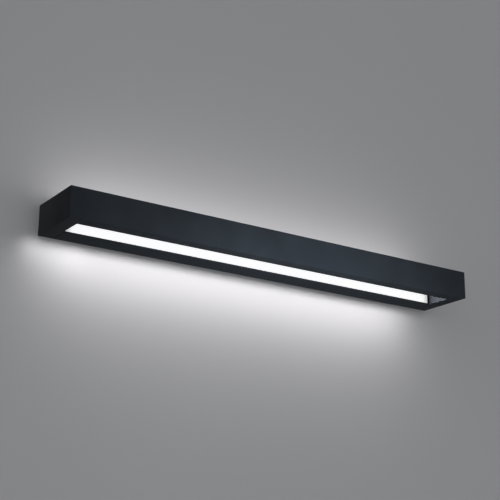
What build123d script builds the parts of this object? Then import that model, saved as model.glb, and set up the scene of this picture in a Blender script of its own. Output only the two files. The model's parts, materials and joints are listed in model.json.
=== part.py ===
from build123d import *
import math
import os

# Open-frame vanity light bar for a wall, in millimetres.
# A black aluminium frame stands out from the wall: a deep rear spine, two end bars and a front bar with
# mitred corners. A white diffuser in the front of the spine glows through the open middle of the frame.
# The spine slides over a steel wall bracket and two set screws in its top rail clamp it there.
# Frame: +X right along the bar, +Y into the wall, +Z up, origin on the wall at the bracket's centre.

# Overall size
bar_length = 686.0
bar_depth = 96.0
bar_height = 43.0

# Front bar and end bars, square-cornered tube
frame_width = 21.0
tube_wall = 1.6
edge_radius = 0.5

# Corner keys and end inserts inside the tubes
key_leg = 46.0
key_wall = 3.2
key_bore_margin = 5.0
insert_depth = 14.0
insert_setback = 0.6

# Rear spine extrusion
spine_depth = 34.0
skin = 2.0
web_thickness = 2.0
wiring_depth = 18.5
rail_thickness = 4.0
rail_width = 9.0
port_bore = 1.75
port_wall = 1.65
port_slit = 1.6
port_embed = 0.5
port_from_skin = 0.6
rib_height = 0.8
rib_tip = 0.6
rib_ramp = 1.0
rib_setback = 6.2

# End plates
plate_thickness = 2.0

# Diffuser
lens_face = 2.0
lens_leg = 1.4
lens_barb = 1.2
seal_thickness = 1.0

# Light source
board_height = 14.0
board_thickness = 1.6
board_middle_gap = 2.0
board_end_room = 16.0
chip_length = 3.5
chip_height = 2.8
chip_thickness = 0.7
chip_pitch = 8.8
chip_start = 6.6
chip_end_room = 14.0
board_screw_count = 3
board_screw_margin = 30.0
board_screw_offset = 4.4
link_length = 8.0
link_height = 6.0
link_thickness = 3.0
connector_length = 9.0
connector_height = 6.4
connector_thickness = 3.6
connector_inset = 1.0
connector_chamfer = 0.3
reflector_thickness = 0.5

# Driver
driver_length = 118.0
driver_height = 26.0
driver_case_depth = 14.0
driver_lid_thickness = 1.5
driver_chamfer = 1.2
driver_lead_height = 8.4
driver_to_grommet = 22.0
ear_length = 9.0
ear_height = 14.0
ear_thickness = 1.2

# Push-in terminal block
block_centre = 66.0
block_length = 24.0
block_depth = 12.0
block_chamfer = 0.8
pole_count = 3
pole_pitch = 8.0
pole_margin = 4.6
entry_depth = 7.0
entry_height = 5.5
test_slot_length = 4.0
test_slot_width = 1.6
test_slot_depth = 1.5
test_slot_pitch = 15.0
block_screw_sink = 6.0

# Leads
mains_lead_radius = 1.15
ground_lead_radius = 1.0
led_lead_radius = 0.8
led_lead_pitch = 2.2
lead_insertion = 5.0
driver_lead_insertion = 2.0
connector_insertion = 1.0
grommet_wall = 1.4
grommet_flange = 1.2
grommet_lip = 1.2
grommet_bore = 2.6
grommet_from_connector = 8.0
lug_radius = 4.0
lug_thickness = 0.8
lug_tongue = 12.0
lug_barrel = 6.0
lug_barrel_wall = 0.7
lug_barrel_sink = 0.34
lug_from_block = 22.0
lead_sides = 6
mains_bend_places = (0.2, 0.7)
mains_bend_reach = 0.4
ground_bend_places = (2.0, 8.0)
ground_bend_radius = 5.0
led_bend_radii = [6.0, 4.0]

# Wall bracket
bracket_length = 320.0
bracket_thickness = 1.5
bracket_flange = 8.5
bracket_bend = 1.0
wire_hole_radius = 11.0
box_slot_spacing = 79.4
box_slot_length = 24.0
box_slot_radius = 2.5
anchor_spacing = 280.0
anchor_radius = 2.5
bracket_ground_from_centre = 66.0

# Screws, with few sides where they repeat out of sight
m3_radius = 1.45
m4_radius = 1.95
small_head_radius = 2.8
small_head_height = 1.8
large_head_radius = 3.8
large_head_height = 2.5
head_sides = 6
shank_sides = 8
countersunk_head_radius = 3.5
countersunk_sides = 12
end_screw_length = 14.0
joint_screw_length = 10.0
joint_screw_setback = 8.0
joint_screw_spread = 16.0
web_screw_margin = 0.2
locking_screw_spread = 220.0
locking_screw_setback = 4.5
locking_screw_length = 4.0
locking_socket_width = 2.0
locking_socket_depth = 2.0

# Clearances
slide_gap = 0.4
fit_gap = 0.15
lens_end_gap = 0.2
thread_gap = 0.05
through_gap = 0.3
lead_gap = 0.25

# Places worked out from the sizes
half_length = bar_length / 2
half_height = bar_height / 2
front_y = -bar_depth
opening_end_x = half_length - frame_width
opening_front_y = front_y + frame_width
spine_end_x = opening_end_x - plate_thickness
lens_y = -spine_depth
web_back_y = -wiring_depth
web_front_y = web_back_y - web_thickness
skin_z = half_height - skin
rail_z = half_height - rail_thickness
rib_back_y = lens_y + rib_setback
rib_z = skin_z - rib_height
port_radius = port_bore + port_wall
port_y = web_back_y + port_radius - port_embed
port_z = skin_z - port_bore - port_from_skin
lens_end_x = spine_end_x - seal_thickness
board_front_y = web_front_y - board_thickness
board_start_x = board_middle_gap / 2
board_end_x = lens_end_x - board_end_room
board_length = board_end_x - board_start_x
board_centre = board_start_x + board_length / 2
board_screw_pitch = (board_length - 2 * board_screw_margin) / (board_screw_count - 1)
chips_per_board = int((board_end_x - chip_end_room - chip_start) / chip_pitch) + 1
chip_row_centre = chip_start + chip_pitch * (chips_per_board - 1) / 2
connector_end_x = board_end_x - connector_inset
connector_lead_y = board_front_y - connector_thickness / 2
grommet_x = connector_end_x + grommet_from_connector
grommet_radius = grommet_bore + grommet_wall
driver_end_x = grommet_x - driver_to_grommet
driver_start_x = driver_end_x - driver_length
driver_centre = driver_start_x + driver_length / 2
driver_lid_y = web_back_y + driver_case_depth
driver_lead_y = web_back_y + driver_lead_height
driver_screw_pitch = driver_length + ear_length
block_top_y = web_back_y + block_depth
block_height = (pole_count - 1) * pole_pitch + 2 * pole_margin
block_right_x = block_centre + block_length / 2
entry_y = web_back_y + entry_height
entry_width = 2 * (mains_lead_radius + lead_gap)
led_entry_width = 2 * (led_lead_radius + fit_gap)
head_well = 2 * (small_head_radius + fit_gap)
lug_x = block_right_x + lug_from_block
lug_top_y = web_back_y + lug_thickness
lug_barrel_radius = ground_lead_radius + lug_barrel_wall
lug_barrel_y = lug_top_y + lug_barrel_radius - lug_barrel_sink
bracket_half_height = rail_z - slide_gap
outer_pole_z = pole_pitch * (pole_count - 1) / 2
sides = (("left", -1), ("right", 1))

os.makedirs("parts", exist_ok=True)


def save(piece, name):
    """Label a finished piece and write its solids under its own name."""
    piece.part.label = name
    export_step(piece.part, f"parts/{name}.step")


def wall_plane(y):
    """A plane parallel to the wall at depth y, with X across, Z up and its normal out of the wall."""
    return Plane.XZ.offset(-y)


def outward_plane(sign):
    """The plane of the spine's end, on the left (-1) or the right (+1), with its normal out of the end."""
    return Plane(origin=(sign * opening_end_x, 0, 0), x_dir=(0, 1, 0), z_dir=(sign, 0, 0))


def mitre_plane(sign):
    """The upright 45 degree plane of a front corner, with the front bar on its positive side."""
    return Plane(origin=(sign * half_length, front_y, 0), x_dir=(0, 0, 1), z_dir=(-sign, -1, 0))


def screw_plane(x, y, z, facing):
    """The plane under a screw's head, with its normal along the direction that the head faces."""
    across = (0, 1, 0) if facing[0] else (1, 0, 0)
    return Plane(origin=(x, y, z), x_dir=across, z_dir=facing)


def hex_screw(thread_radius, length, head_radius, head_height):
    """A hexagon-head screw along Z with its head above the origin."""
    with BuildPart() as screw:
        with BuildSketch(Plane.XY):
            RegularPolygon(head_radius, head_sides)
        extrude(amount=head_height)
        with BuildSketch(Plane.XY):
            RegularPolygon(thread_radius, shank_sides)
        extrude(amount=-length)
    return screw.part


def sink_depth(hole_radius):
    """Depth of a 90 degree countersink from its head's edge down to the hole."""
    return (countersunk_head_radius - hole_radius) * math.cos(math.pi / countersunk_sides)


def countersunk_screw(thread_radius, length):
    """A screw along Z with a flush 90 degree head whose top is at the origin."""
    with BuildPart() as screw:
        with BuildSketch(Plane.XY):
            RegularPolygon(countersunk_head_radius, countersunk_sides)
        extrude(amount=-sink_depth(thread_radius), taper=45)
        with BuildSketch(Plane.XY):
            RegularPolygon(thread_radius, countersunk_sides)
        extrude(amount=-length)
    return screw.part


def lead(points, radii, radius, name):
    """A lead swept along straight runs and arcs."""
    with BuildPart() as tube:
        with BuildLine() as route:
            FilletPolyline(*points, radius=radii)
        with BuildSketch(Plane(origin=route.line @ 0, z_dir=route.line % 0)):
            RegularPolygon(radius, lead_sides)
        sweep(path=route.line)
    save(tube, name)


# Wall bracket: a C-section plate with a wire hole, slots for a wall box and two anchor holes
with BuildPart() as wall_bracket:
    with BuildSketch(Plane.YZ) as section_sketch:
        with BuildLine():
            Polyline(
                (-bracket_flange, bracket_half_height),
                (0, bracket_half_height),
                (0, -bracket_half_height),
                (-bracket_flange, -bracket_half_height),
                (-bracket_flange, bracket_thickness - bracket_half_height),
                (-bracket_thickness, bracket_thickness - bracket_half_height),
                (-bracket_thickness, bracket_half_height - bracket_thickness),
                (-bracket_flange, bracket_half_height - bracket_thickness),
                close=True,
            )
        section = make_face()
        inner_bends = section.vertices().group_by(Axis.X)[-2]
        fillet(inner_bends, bracket_bend)
        outer_bends = section_sketch.vertices().group_by(Axis.X)[-1]
        fillet(outer_bends, bracket_bend + bracket_thickness)
    extrude(amount=bracket_length / 2, both=True)
    with BuildSketch(wall_plane(0)):
        Circle(wire_hole_radius)
        with GridLocations(box_slot_spacing, 1, 2, 1):
            SlotOverall(box_slot_length, 2 * box_slot_radius)
        with GridLocations(anchor_spacing, 1, 2, 1):
            Circle(anchor_radius)
        with Locations((-bracket_ground_from_centre, 0)):
            Circle(m4_radius + thread_gap)
    extrude(amount=bracket_thickness, mode=Mode.SUBTRACT)
save(wall_bracket, "wall_bracket")

# Ground screw of the bracket, for the house's bare ground wire
bracket_screw_length = bracket_thickness - web_screw_margin
bracket_screw = hex_screw(m4_radius, bracket_screw_length, large_head_radius, large_head_height)
with BuildPart() as bracket_ground_screw:
    with Locations(screw_plane(-bracket_ground_from_centre, -bracket_thickness, 0, (0, -1, 0))):
        add(bracket_screw)
save(bracket_ground_screw, "bracket_ground_screw")

# Rear spine: one extrusion with the lens channel in front of the web and the wiring channel behind it
with BuildPart() as rear_spine:
    with BuildSketch(Plane.YZ):
        with BuildLine():
            Polyline(
                (web_front_y, 0),
                (web_front_y, skin_z),
                (rib_back_y, skin_z),
                (rib_back_y, rib_z),
                (rib_back_y - rib_tip, rib_z),
                (rib_back_y - rib_tip - rib_ramp, skin_z),
                (lens_y, skin_z),
                (lens_y, half_height),
                (0, half_height),
                (0, rail_z),
                (-rail_width, rail_z),
                (-rail_width, skin_z),
                (web_back_y, skin_z),
                (web_back_y, 0),
            )
            mirror(about=Plane.XZ)
        section = make_face()
        corners = section.vertices().group_by(SortBy.DISTANCE)[-1]
        fillet(corners, edge_radius)
        with GridLocations(1, 2 * port_z, 1, 2):
            with Locations((port_y, 0)):
                Circle(port_radius)
        with GridLocations(1, 2 * port_z, 1, 2):
            with Locations((port_y, 0)):
                Circle(port_bore, mode=Mode.SUBTRACT)
        with Locations((port_y, 0)):
            Rectangle(port_slit, 2 * port_z, mode=Mode.SUBTRACT)
    extrude(amount=spine_end_x, both=True)
    # Tapped holes of the set screws, through the top rail
    with Locations(Plane.XY.offset(half_height)):
        with Locations((0, -locking_screw_setback)):
            with GridLocations(locking_screw_spread, 1, 2, 1):
                Hole(m4_radius + thread_gap, depth=rail_thickness + slide_gap)
    # Tapped holes and the lead hole, through the web
    with BuildSketch(wall_plane(web_back_y)):
        for side, sign in sides:
            with Locations((sign * board_centre, sign * board_screw_offset)):
                with GridLocations(board_screw_pitch, 1, board_screw_count, 1):
                    Circle(m3_radius + thread_gap)
        with Locations((block_centre, 0)):
            with GridLocations(1, pole_pitch, 1, 2):
                Circle(m3_radius + thread_gap)
        with Locations((driver_centre, 0)):
            with GridLocations(driver_screw_pitch, 1, 2, 1):
                Circle(m3_radius + thread_gap)
        with Locations((lug_x, 0)):
            Circle(m4_radius + thread_gap)
        with Locations((grommet_x, 0)):
            Circle(grommet_radius)
    extrude(amount=web_thickness, mode=Mode.SUBTRACT)
save(rear_spine, "rear_spine")

# Front bar: tube between the two mitres
with BuildPart() as front_bar:
    with BuildSketch(Plane.YZ):
        with Locations((front_y + frame_width / 2, 0)):
            RectangleRounded(frame_width, bar_height, edge_radius)
            Rectangle(frame_width - 2 * tube_wall, bar_height - 2 * tube_wall, mode=Mode.SUBTRACT)
    extrude(amount=half_length, both=True)
    for side, sign in sides:
        split(bisect_by=mitre_plane(sign), keep=Keep.TOP)
save(front_bar, "front_bar")

# End bars: tubes from the mitre back to the wall, with clearance holes for the joint screws
for side, sign in sides:
    with BuildPart() as end_bar:
        with BuildSketch(wall_plane(0)):
            with Locations((sign * (half_length - frame_width / 2), 0)):
                RectangleRounded(frame_width, bar_height, edge_radius)
                Rectangle(frame_width - 2 * tube_wall, bar_height - 2 * tube_wall, mode=Mode.SUBTRACT)
        extrude(amount=bar_depth)
        split(bisect_by=mitre_plane(sign), keep=Keep.BOTTOM)
        with BuildSketch(outward_plane(sign)):
            with Locations((-joint_screw_setback, 0)):
                with GridLocations(1, joint_screw_spread, 1, 2):
                    Circle(m4_radius + through_gap)
        extrude(amount=tube_wall, mode=Mode.SUBTRACT)
    save(end_bar, f"{side}_end_bar")

# Corner keys: L-shaped cleats that hold the mitres closed from inside
for side, sign in sides:
    inset = tube_wall + fit_gap
    outer_x = sign * (half_length - inset)
    inner_x = sign * (opening_end_x + inset)
    leg_end_x = sign * (half_length - key_leg)
    outer_y = front_y + inset
    inner_y = opening_front_y - inset
    leg_end_y = front_y + key_leg
    with BuildPart() as corner_key:
        with BuildSketch(Plane.XY):
            with BuildLine():
                Polyline(
                    (outer_x, outer_y),
                    (leg_end_x, outer_y),
                    (leg_end_x, inner_y),
                    (inner_x, inner_y),
                    (inner_x, leg_end_y),
                    (outer_x, leg_end_y),
                    close=True,
                )
            make_face()
            bore_length = key_leg - frame_width - key_bore_margin
            bore_width = frame_width - 2 * (inset + key_wall)
            bore_offset = frame_width + bore_length / 2
            with Locations((sign * (half_length - bore_offset), front_y + frame_width / 2)):
                Rectangle(bore_length, bore_width, mode=Mode.SUBTRACT)
            with Locations((sign * (half_length - frame_width / 2), front_y + bore_offset)):
                Rectangle(bore_width, bore_length, mode=Mode.SUBTRACT)
        extrude(amount=half_height - inset, both=True)
    save(corner_key, f"{side}_corner_key")

# End inserts: tapped blocks that close the tubes at the wall
for side, sign in sides:
    inset = tube_wall + fit_gap
    with BuildPart() as end_insert:
        with BuildSketch(wall_plane(-insert_setback)):
            with Locations((sign * (half_length - frame_width / 2), 0)):
                Rectangle(frame_width - 2 * inset, bar_height - 2 * inset)
        extrude(amount=insert_depth)
        with BuildSketch(outward_plane(sign).offset(inset)):
            with Locations((-joint_screw_setback, 0)):
                with GridLocations(1, joint_screw_spread, 1, 2):
                    Circle(m4_radius + thread_gap)
        extrude(amount=joint_screw_length, mode=Mode.SUBTRACT)
    save(end_insert, f"{side}_end_insert")

# End plates: screwed into the spine's ports, with the end bars screwed to them
for side, sign in sides:
    with BuildPart() as end_plate:
        with BuildSketch(outward_plane(sign)):
            with Locations((lens_y / 2, 0)):
                outline = Rectangle(spine_depth, bar_height)
            fillet(outline.vertices().group_by(Axis.X)[0], edge_radius)
        extrude(amount=-plate_thickness)
        with BuildSketch(outward_plane(sign)):
            with Locations((port_y, 0)):
                with GridLocations(1, 2 * port_z, 1, 2):
                    RegularPolygon(port_bore + thread_gap, countersunk_sides)
            with Locations((-joint_screw_setback, 0)):
                with GridLocations(1, joint_screw_spread, 1, 2):
                    Circle(m4_radius + through_gap)
        extrude(amount=-plate_thickness, mode=Mode.SUBTRACT)
        outer_face = end_plate.faces().sort_by(Axis((0, 0, 0), (sign, 0, 0)))[-1]
        screw_holes = [w for w in outer_face.inner_wires() if len(w.edges()) == countersunk_sides]
        chamfer([edge for hole in screw_holes for edge in hole.edges()], sink_depth(port_bore))
    save(end_plate, f"{side}_end_plate")

# End plate screws, self-tapping into the ports
end_screw = countersunk_screw(port_bore - thread_gap, end_screw_length)
with BuildPart() as end_plate_screws:
    for side, sign in sides:
        for z in (-port_z, port_z):
            with Locations(screw_plane(sign * opening_end_x, port_y, z, (sign, 0, 0))):
                add(end_screw)
save(end_plate_screws, "end_plate_screws")

# Joint screws, from inside the wiring channel through each end plate and tube wall into the insert
joint_screw = hex_screw(m4_radius, joint_screw_length, large_head_radius, large_head_height)
with BuildPart() as joint_screws:
    for side, sign in sides:
        for z in (-joint_screw_spread / 2, joint_screw_spread / 2):
            with Locations(screw_plane(sign * spine_end_x, -joint_screw_setback, z, (-sign, 0, 0))):
                add(joint_screw)
save(joint_screws, "joint_screws")

# Diffuser: a channel of opal plastic whose barbed legs snap behind the spine's ribs
leg_z = rib_z - fit_gap
barb_y = rib_back_y + lens_end_gap
with BuildPart() as diffuser:
    with BuildSketch(Plane.YZ):
        with BuildLine():
            Polyline(
                (lens_y, 0),
                (lens_y, skin_z - fit_gap),
                (lens_y + lens_face, skin_z - fit_gap),
                (lens_y + lens_face, leg_z),
                (barb_y, leg_z),
                (barb_y, skin_z - 2 * fit_gap),
                (barb_y + lens_barb, leg_z),
                (barb_y + lens_barb, leg_z - lens_leg),
                (lens_y + lens_face, leg_z - lens_leg),
                (lens_y + lens_face, 0),
            )
            mirror(about=Plane.XZ)
        make_face()
    extrude(amount=lens_end_x - lens_end_gap, both=True)
save(diffuser, "diffuser")

# Lens seals: soft plugs that close the lens channel beside each end plate
for side, sign in sides:
    with BuildPart() as lens_seal:
        with BuildSketch(Plane.YZ.offset(sign * spine_end_x)):
            with BuildLine():
                Polyline(
                    (web_front_y - fit_gap, 0),
                    (web_front_y - fit_gap, skin_z - fit_gap),
                    (rib_back_y + fit_gap, skin_z - fit_gap),
                    (rib_back_y + fit_gap, rib_z - fit_gap),
                    (rib_back_y - rib_tip - fit_gap, rib_z - fit_gap),
                    (rib_back_y - rib_tip - rib_ramp - fit_gap, skin_z - fit_gap),
                    (lens_y, skin_z - fit_gap),
                    (lens_y, 0),
                )
                mirror(about=Plane.XZ)
            make_face()
        extrude(amount=-sign * seal_thickness)
    save(lens_seal, f"{side}_lens_seal")

# Reflector strips: thin white angles above and below the boards
strip_start_z = board_height / 2 + fit_gap * 2
strip_front_y = barb_y + lens_barb + fit_gap * 2
with BuildPart() as reflector_strips:
    with BuildSketch(Plane.YZ):
        with BuildLine():
            Polyline(
                (web_front_y, strip_start_z),
                (web_front_y, skin_z),
                (strip_front_y, skin_z),
                (strip_front_y, skin_z - reflector_thickness),
                (web_front_y - reflector_thickness, skin_z - reflector_thickness),
                (web_front_y - reflector_thickness, strip_start_z),
                close=True,
            )
        make_face()
        mirror(about=Plane.XZ)
    extrude(amount=lens_end_x - lens_end_gap, both=True)
save(reflector_strips, "reflector_strips")

# Circuit boards of the light source, flat on the web
for side, sign in sides:
    with BuildPart() as led_board:
        with BuildSketch(wall_plane(web_front_y)):
            with Locations((sign * board_centre, 0)):
                Rectangle(board_length, board_height)
            with Locations((sign * board_centre, sign * board_screw_offset)):
                with GridLocations(board_screw_pitch, 1, board_screw_count, 1):
                    Circle(m3_radius + through_gap, mode=Mode.SUBTRACT)
        extrude(amount=board_thickness)
    save(led_board, f"{side}_led_board")

# Light-emitting chips, one row on each board
with BuildPart() as led_chips:
    with BuildSketch(wall_plane(board_front_y)):
        for side, sign in sides:
            with Locations((sign * chip_row_centre, 0)):
                with GridLocations(chip_pitch, 1, chips_per_board, 1):
                    Rectangle(chip_length, chip_height)
    extrude(amount=chip_thickness)
save(led_chips, "led_chips")

# Board screws, above the chips on the right board and below them on the left
board_screw_length = board_thickness + web_thickness - web_screw_margin
board_screw = hex_screw(m3_radius, board_screw_length, small_head_radius, small_head_height)
with BuildPart() as board_screws:
    for side, sign in sides:
        for i in range(board_screw_count):
            x = sign * board_centre + board_screw_pitch * (i - (board_screw_count - 1) / 2)
            with Locations(screw_plane(x, board_front_y, sign * board_screw_offset, (0, -1, 0))):
                add(board_screw)
save(board_screws, "board_screws")

# Link that bridges the two boards at the middle
with BuildPart() as board_link:
    with BuildSketch(wall_plane(board_front_y)):
        Rectangle(link_length, link_height)
    extrude(amount=link_thickness)
    chamfer(board_link.faces().sort_by(Axis.Y)[0].edges(), connector_chamfer)
save(board_link, "board_link")

# Plug-in connector at the right end of the right board
with BuildPart() as board_connector:
    with BuildSketch(wall_plane(board_front_y)):
        with Locations((connector_end_x - connector_length / 2, 0)):
            Rectangle(connector_length, connector_height)
    extrude(amount=connector_thickness)
    chamfer(board_connector.faces().sort_by(Axis.Y)[0].edges(), connector_chamfer)
    with BuildSketch(Plane.YZ.offset(connector_end_x)):
        with Locations((connector_lead_y, 0)):
            with GridLocations(1, led_lead_pitch, 1, 2):
                Rectangle(led_entry_width, led_entry_width)
    extrude(amount=-2 * connector_insertion, mode=Mode.SUBTRACT)
save(board_connector, "board_connector")

# Driver case with mounting ears, and lead entries in both ends
with BuildPart() as driver_case:
    with BuildSketch(wall_plane(web_back_y)):
        with Locations((driver_centre, 0)):
            Rectangle(driver_length, driver_height)
    extrude(amount=-driver_case_depth)
    chamfer(driver_case.edges().filter_by(Axis.Y), driver_chamfer)
    with BuildSketch(wall_plane(web_back_y)):
        with Locations((driver_centre, 0)):
            Rectangle(driver_length + 2 * ear_length, ear_height)
            with GridLocations(driver_screw_pitch, 1, 2, 1):
                Circle(m3_radius + through_gap, mode=Mode.SUBTRACT)
    extrude(amount=-ear_thickness)
    with BuildSketch(Plane.YZ.offset(driver_start_x)):
        with Locations((driver_lead_y, 0)):
            with GridLocations(1, 2 * outer_pole_z, 1, 2):
                Rectangle(entry_width, entry_width)
    extrude(amount=2 * driver_lead_insertion, mode=Mode.SUBTRACT)
    with BuildSketch(Plane.YZ.offset(driver_end_x)):
        with Locations((driver_lead_y, 0)):
            with GridLocations(1, led_lead_pitch, 1, 2):
                Rectangle(led_entry_width, led_entry_width)
    extrude(amount=-2 * driver_lead_insertion, mode=Mode.SUBTRACT)
save(driver_case, "driver_case")

# Driver lid, with bevelled edges
with BuildPart() as driver_lid:
    with BuildSketch(wall_plane(driver_lid_y)):
        with Locations((driver_centre, 0)):
            outline = Rectangle(driver_length, driver_height)
        chamfer(outline.vertices(), driver_chamfer)
    extrude(amount=-driver_lid_thickness)
    chamfer(driver_lid.faces().sort_by(Axis.Y)[-1].edges(), driver_lid_thickness / 2)
save(driver_lid, "driver_lid")

# Driver screws, through the ears into the web
driver_screw_length = ear_thickness + web_thickness - web_screw_margin
driver_screw = hex_screw(m3_radius, driver_screw_length, small_head_radius, small_head_height)
with BuildPart() as driver_screws:
    for side, sign in sides:
        x = driver_centre + sign * driver_screw_pitch / 2
        with Locations(screw_plane(x, web_back_y + ear_thickness, 0, (0, 1, 0))):
            add(driver_screw)
save(driver_screws, "driver_screws")

# Terminal block: push-in entries on both sides, test slots on top and two sunk fixing screws
with BuildPart() as terminal_block:
    with BuildSketch(wall_plane(web_back_y)):
        with Locations((block_centre, 0)):
            Rectangle(block_length, block_height)
    extrude(amount=-block_depth)
    chamfer(terminal_block.faces().sort_by(Axis.Y)[-1].edges(), block_chamfer)
    with BuildSketch(wall_plane(block_top_y)):
        with Locations((block_centre, 0)):
            with GridLocations(test_slot_pitch, pole_pitch, 2, pole_count):
                Rectangle(test_slot_length, test_slot_width)
    extrude(amount=test_slot_depth, mode=Mode.SUBTRACT)
    with BuildSketch(wall_plane(block_top_y)):
        with Locations((block_centre, 0)):
            with GridLocations(1, pole_pitch, 1, 2):
                Rectangle(head_well, head_well)
    extrude(amount=block_screw_sink, mode=Mode.SUBTRACT)
    with BuildSketch(wall_plane(web_back_y)):
        with Locations((block_centre, 0)):
            with GridLocations(1, pole_pitch, 1, 2):
                Circle(m3_radius + through_gap)
    extrude(amount=-block_depth, mode=Mode.SUBTRACT)
    for side, sign in sides:
        with BuildSketch(Plane.YZ.offset(block_centre + sign * block_length / 2)):
            with Locations((entry_y, 0)):
                with GridLocations(1, pole_pitch, 1, pole_count):
                    Rectangle(entry_width, entry_width)
        extrude(amount=-sign * entry_depth, mode=Mode.SUBTRACT)
save(terminal_block, "terminal_block")

# Fixing screws of the terminal block, sunk between the poles
block_screw_length = block_depth - block_screw_sink + web_thickness - web_screw_margin
block_screw = hex_screw(m3_radius, block_screw_length, small_head_radius, small_head_height)
with BuildPart() as block_screws:
    for side, sign in sides:
        seat_y = block_top_y - block_screw_sink
        with Locations(screw_plane(block_centre, seat_y, sign * pole_pitch / 2, (0, 1, 0))):
            add(block_screw)
save(block_screws, "block_screws")

# Grommet in the lead hole of the web
with BuildPart() as lead_grommet:
    with BuildSketch(wall_plane(web_back_y + grommet_lip)):
        with Locations((grommet_x, 0)):
            Circle(grommet_radius + grommet_flange)
    extrude(amount=grommet_lip)
    with BuildSketch(wall_plane(web_back_y)):
        with Locations((grommet_x, 0)):
            Circle(grommet_radius - fit_gap)
    extrude(amount=web_thickness)
    with BuildSketch(wall_plane(web_front_y)):
        with Locations((grommet_x, 0)):
            Circle(grommet_radius + grommet_flange)
    extrude(amount=grommet_lip)
    with BuildSketch(wall_plane(web_back_y + grommet_lip)):
        with Locations((grommet_x, 0)):
            Circle(grommet_bore)
    extrude(amount=web_thickness + 2 * grommet_lip, mode=Mode.SUBTRACT)
save(lead_grommet, "lead_grommet")

# Mains leads from the terminal block to the driver, bent at two shares of the way
lead_start_x = block_right_x - lead_insertion
lead_span = driver_start_x - block_right_x
for name, sign in (("neutral_lead", -1), ("line_lead", 1)):
    z = sign * outer_pole_z
    lead(
        [
            (lead_start_x, entry_y, z),
            (block_right_x + lead_span * mains_bend_places[0], entry_y, z),
            (block_right_x + lead_span * mains_bend_places[1], driver_lead_y, z),
            (driver_start_x + driver_lead_insertion, driver_lead_y, z),
        ],
        lead_span * mains_bend_reach,
        mains_lead_radius,
        name,
    )

# Ground lead from the terminal block to the barrel of its lug
lead(
    [
        (lead_start_x, entry_y, 0),
        (block_right_x + ground_bend_places[0], entry_y, 0),
        (block_right_x + ground_bend_places[1], lug_barrel_y, 0),
        (lug_x - lug_tongue, lug_barrel_y, 0),
    ],
    ground_bend_radius,
    ground_lead_radius,
    "ground_lead",
)

# Ground lug: a ring on the web with a crimped barrel that holds the lead
with BuildPart() as ground_lug:
    with BuildSketch(wall_plane(web_back_y)):
        with Locations((lug_x, 0)):
            Circle(lug_radius)
        with Locations((lug_x - lug_tongue / 2, 0)):
            Rectangle(lug_tongue, 2 * lug_barrel_radius)
        with Locations((lug_x, 0)):
            Circle(m4_radius + through_gap, mode=Mode.SUBTRACT)
    extrude(amount=-lug_thickness)
    with BuildSketch(Plane.YZ.offset(lug_x - lug_tongue)):
        with Locations((lug_barrel_y, 0)):
            RegularPolygon(lug_barrel_radius, head_sides)
    extrude(amount=lug_barrel)
save(ground_lug, "ground_lug")

# Ground screw, through the lug into the web
ground_screw_length = lug_thickness + web_thickness - web_screw_margin
lug_screw = hex_screw(m4_radius, ground_screw_length, large_head_radius, large_head_height)
with BuildPart() as ground_screw:
    with Locations(screw_plane(lug_x, lug_top_y, 0, (0, 1, 0))):
        add(lug_screw)
save(ground_screw, "ground_screw")

# Leads from the driver through the grommet to the board's connector
for name, sign in (("led_negative_lead", -1), ("led_positive_lead", 1)):
    z = sign * led_lead_pitch / 2
    lead(
        [
            (driver_end_x - driver_lead_insertion, driver_lead_y, z),
            (grommet_x, driver_lead_y, z),
            (grommet_x, connector_lead_y, z),
            (connector_end_x - connector_insertion, connector_lead_y, z),
        ],
        led_bend_radii,
        led_lead_radius,
        name,
    )

# Locking screws: set screws in the top rail, with their tips just clear of the bracket's flange
locking_tip_z = bracket_half_height + thread_gap
for side, sign in sides:
    place = (sign * locking_screw_spread / 2, -locking_screw_setback, locking_tip_z)
    with BuildPart() as locking_screw:
        with BuildSketch(Plane(origin=place)):
            Circle(m4_radius)
        extrude(amount=locking_screw_length)
        with BuildSketch(Plane(origin=place).offset(locking_screw_length)):
            RegularPolygon(locking_socket_width / 2, 6, major_radius=False)
        extrude(amount=-locking_socket_depth, mode=Mode.SUBTRACT)
    save(locking_screw, f"{side}_locking_screw")
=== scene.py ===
"""Looks of an open-frame vanity light bar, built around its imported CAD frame.

A black coated frame stands out from a wall: a deep rear spine, two end bars and a front bar with mitred
corners. A white diffuser in the front of the spine glows through the open middle of the frame. Behind the
spine's web sit the driver, the terminal block and their leads, and a zinc-plated bracket holds the bar to
the wall. All sizes are in metres, in the frame's own axes: +X right, +Y into the wall, +Z up.
"""
from __future__ import annotations

import json
import logging
import math
from dataclasses import dataclass, replace
from enum import Enum
from typing import Any, Callable, Sequence

import bmesh
import bpy
import numpy as np
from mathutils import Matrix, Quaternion, Vector

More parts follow.
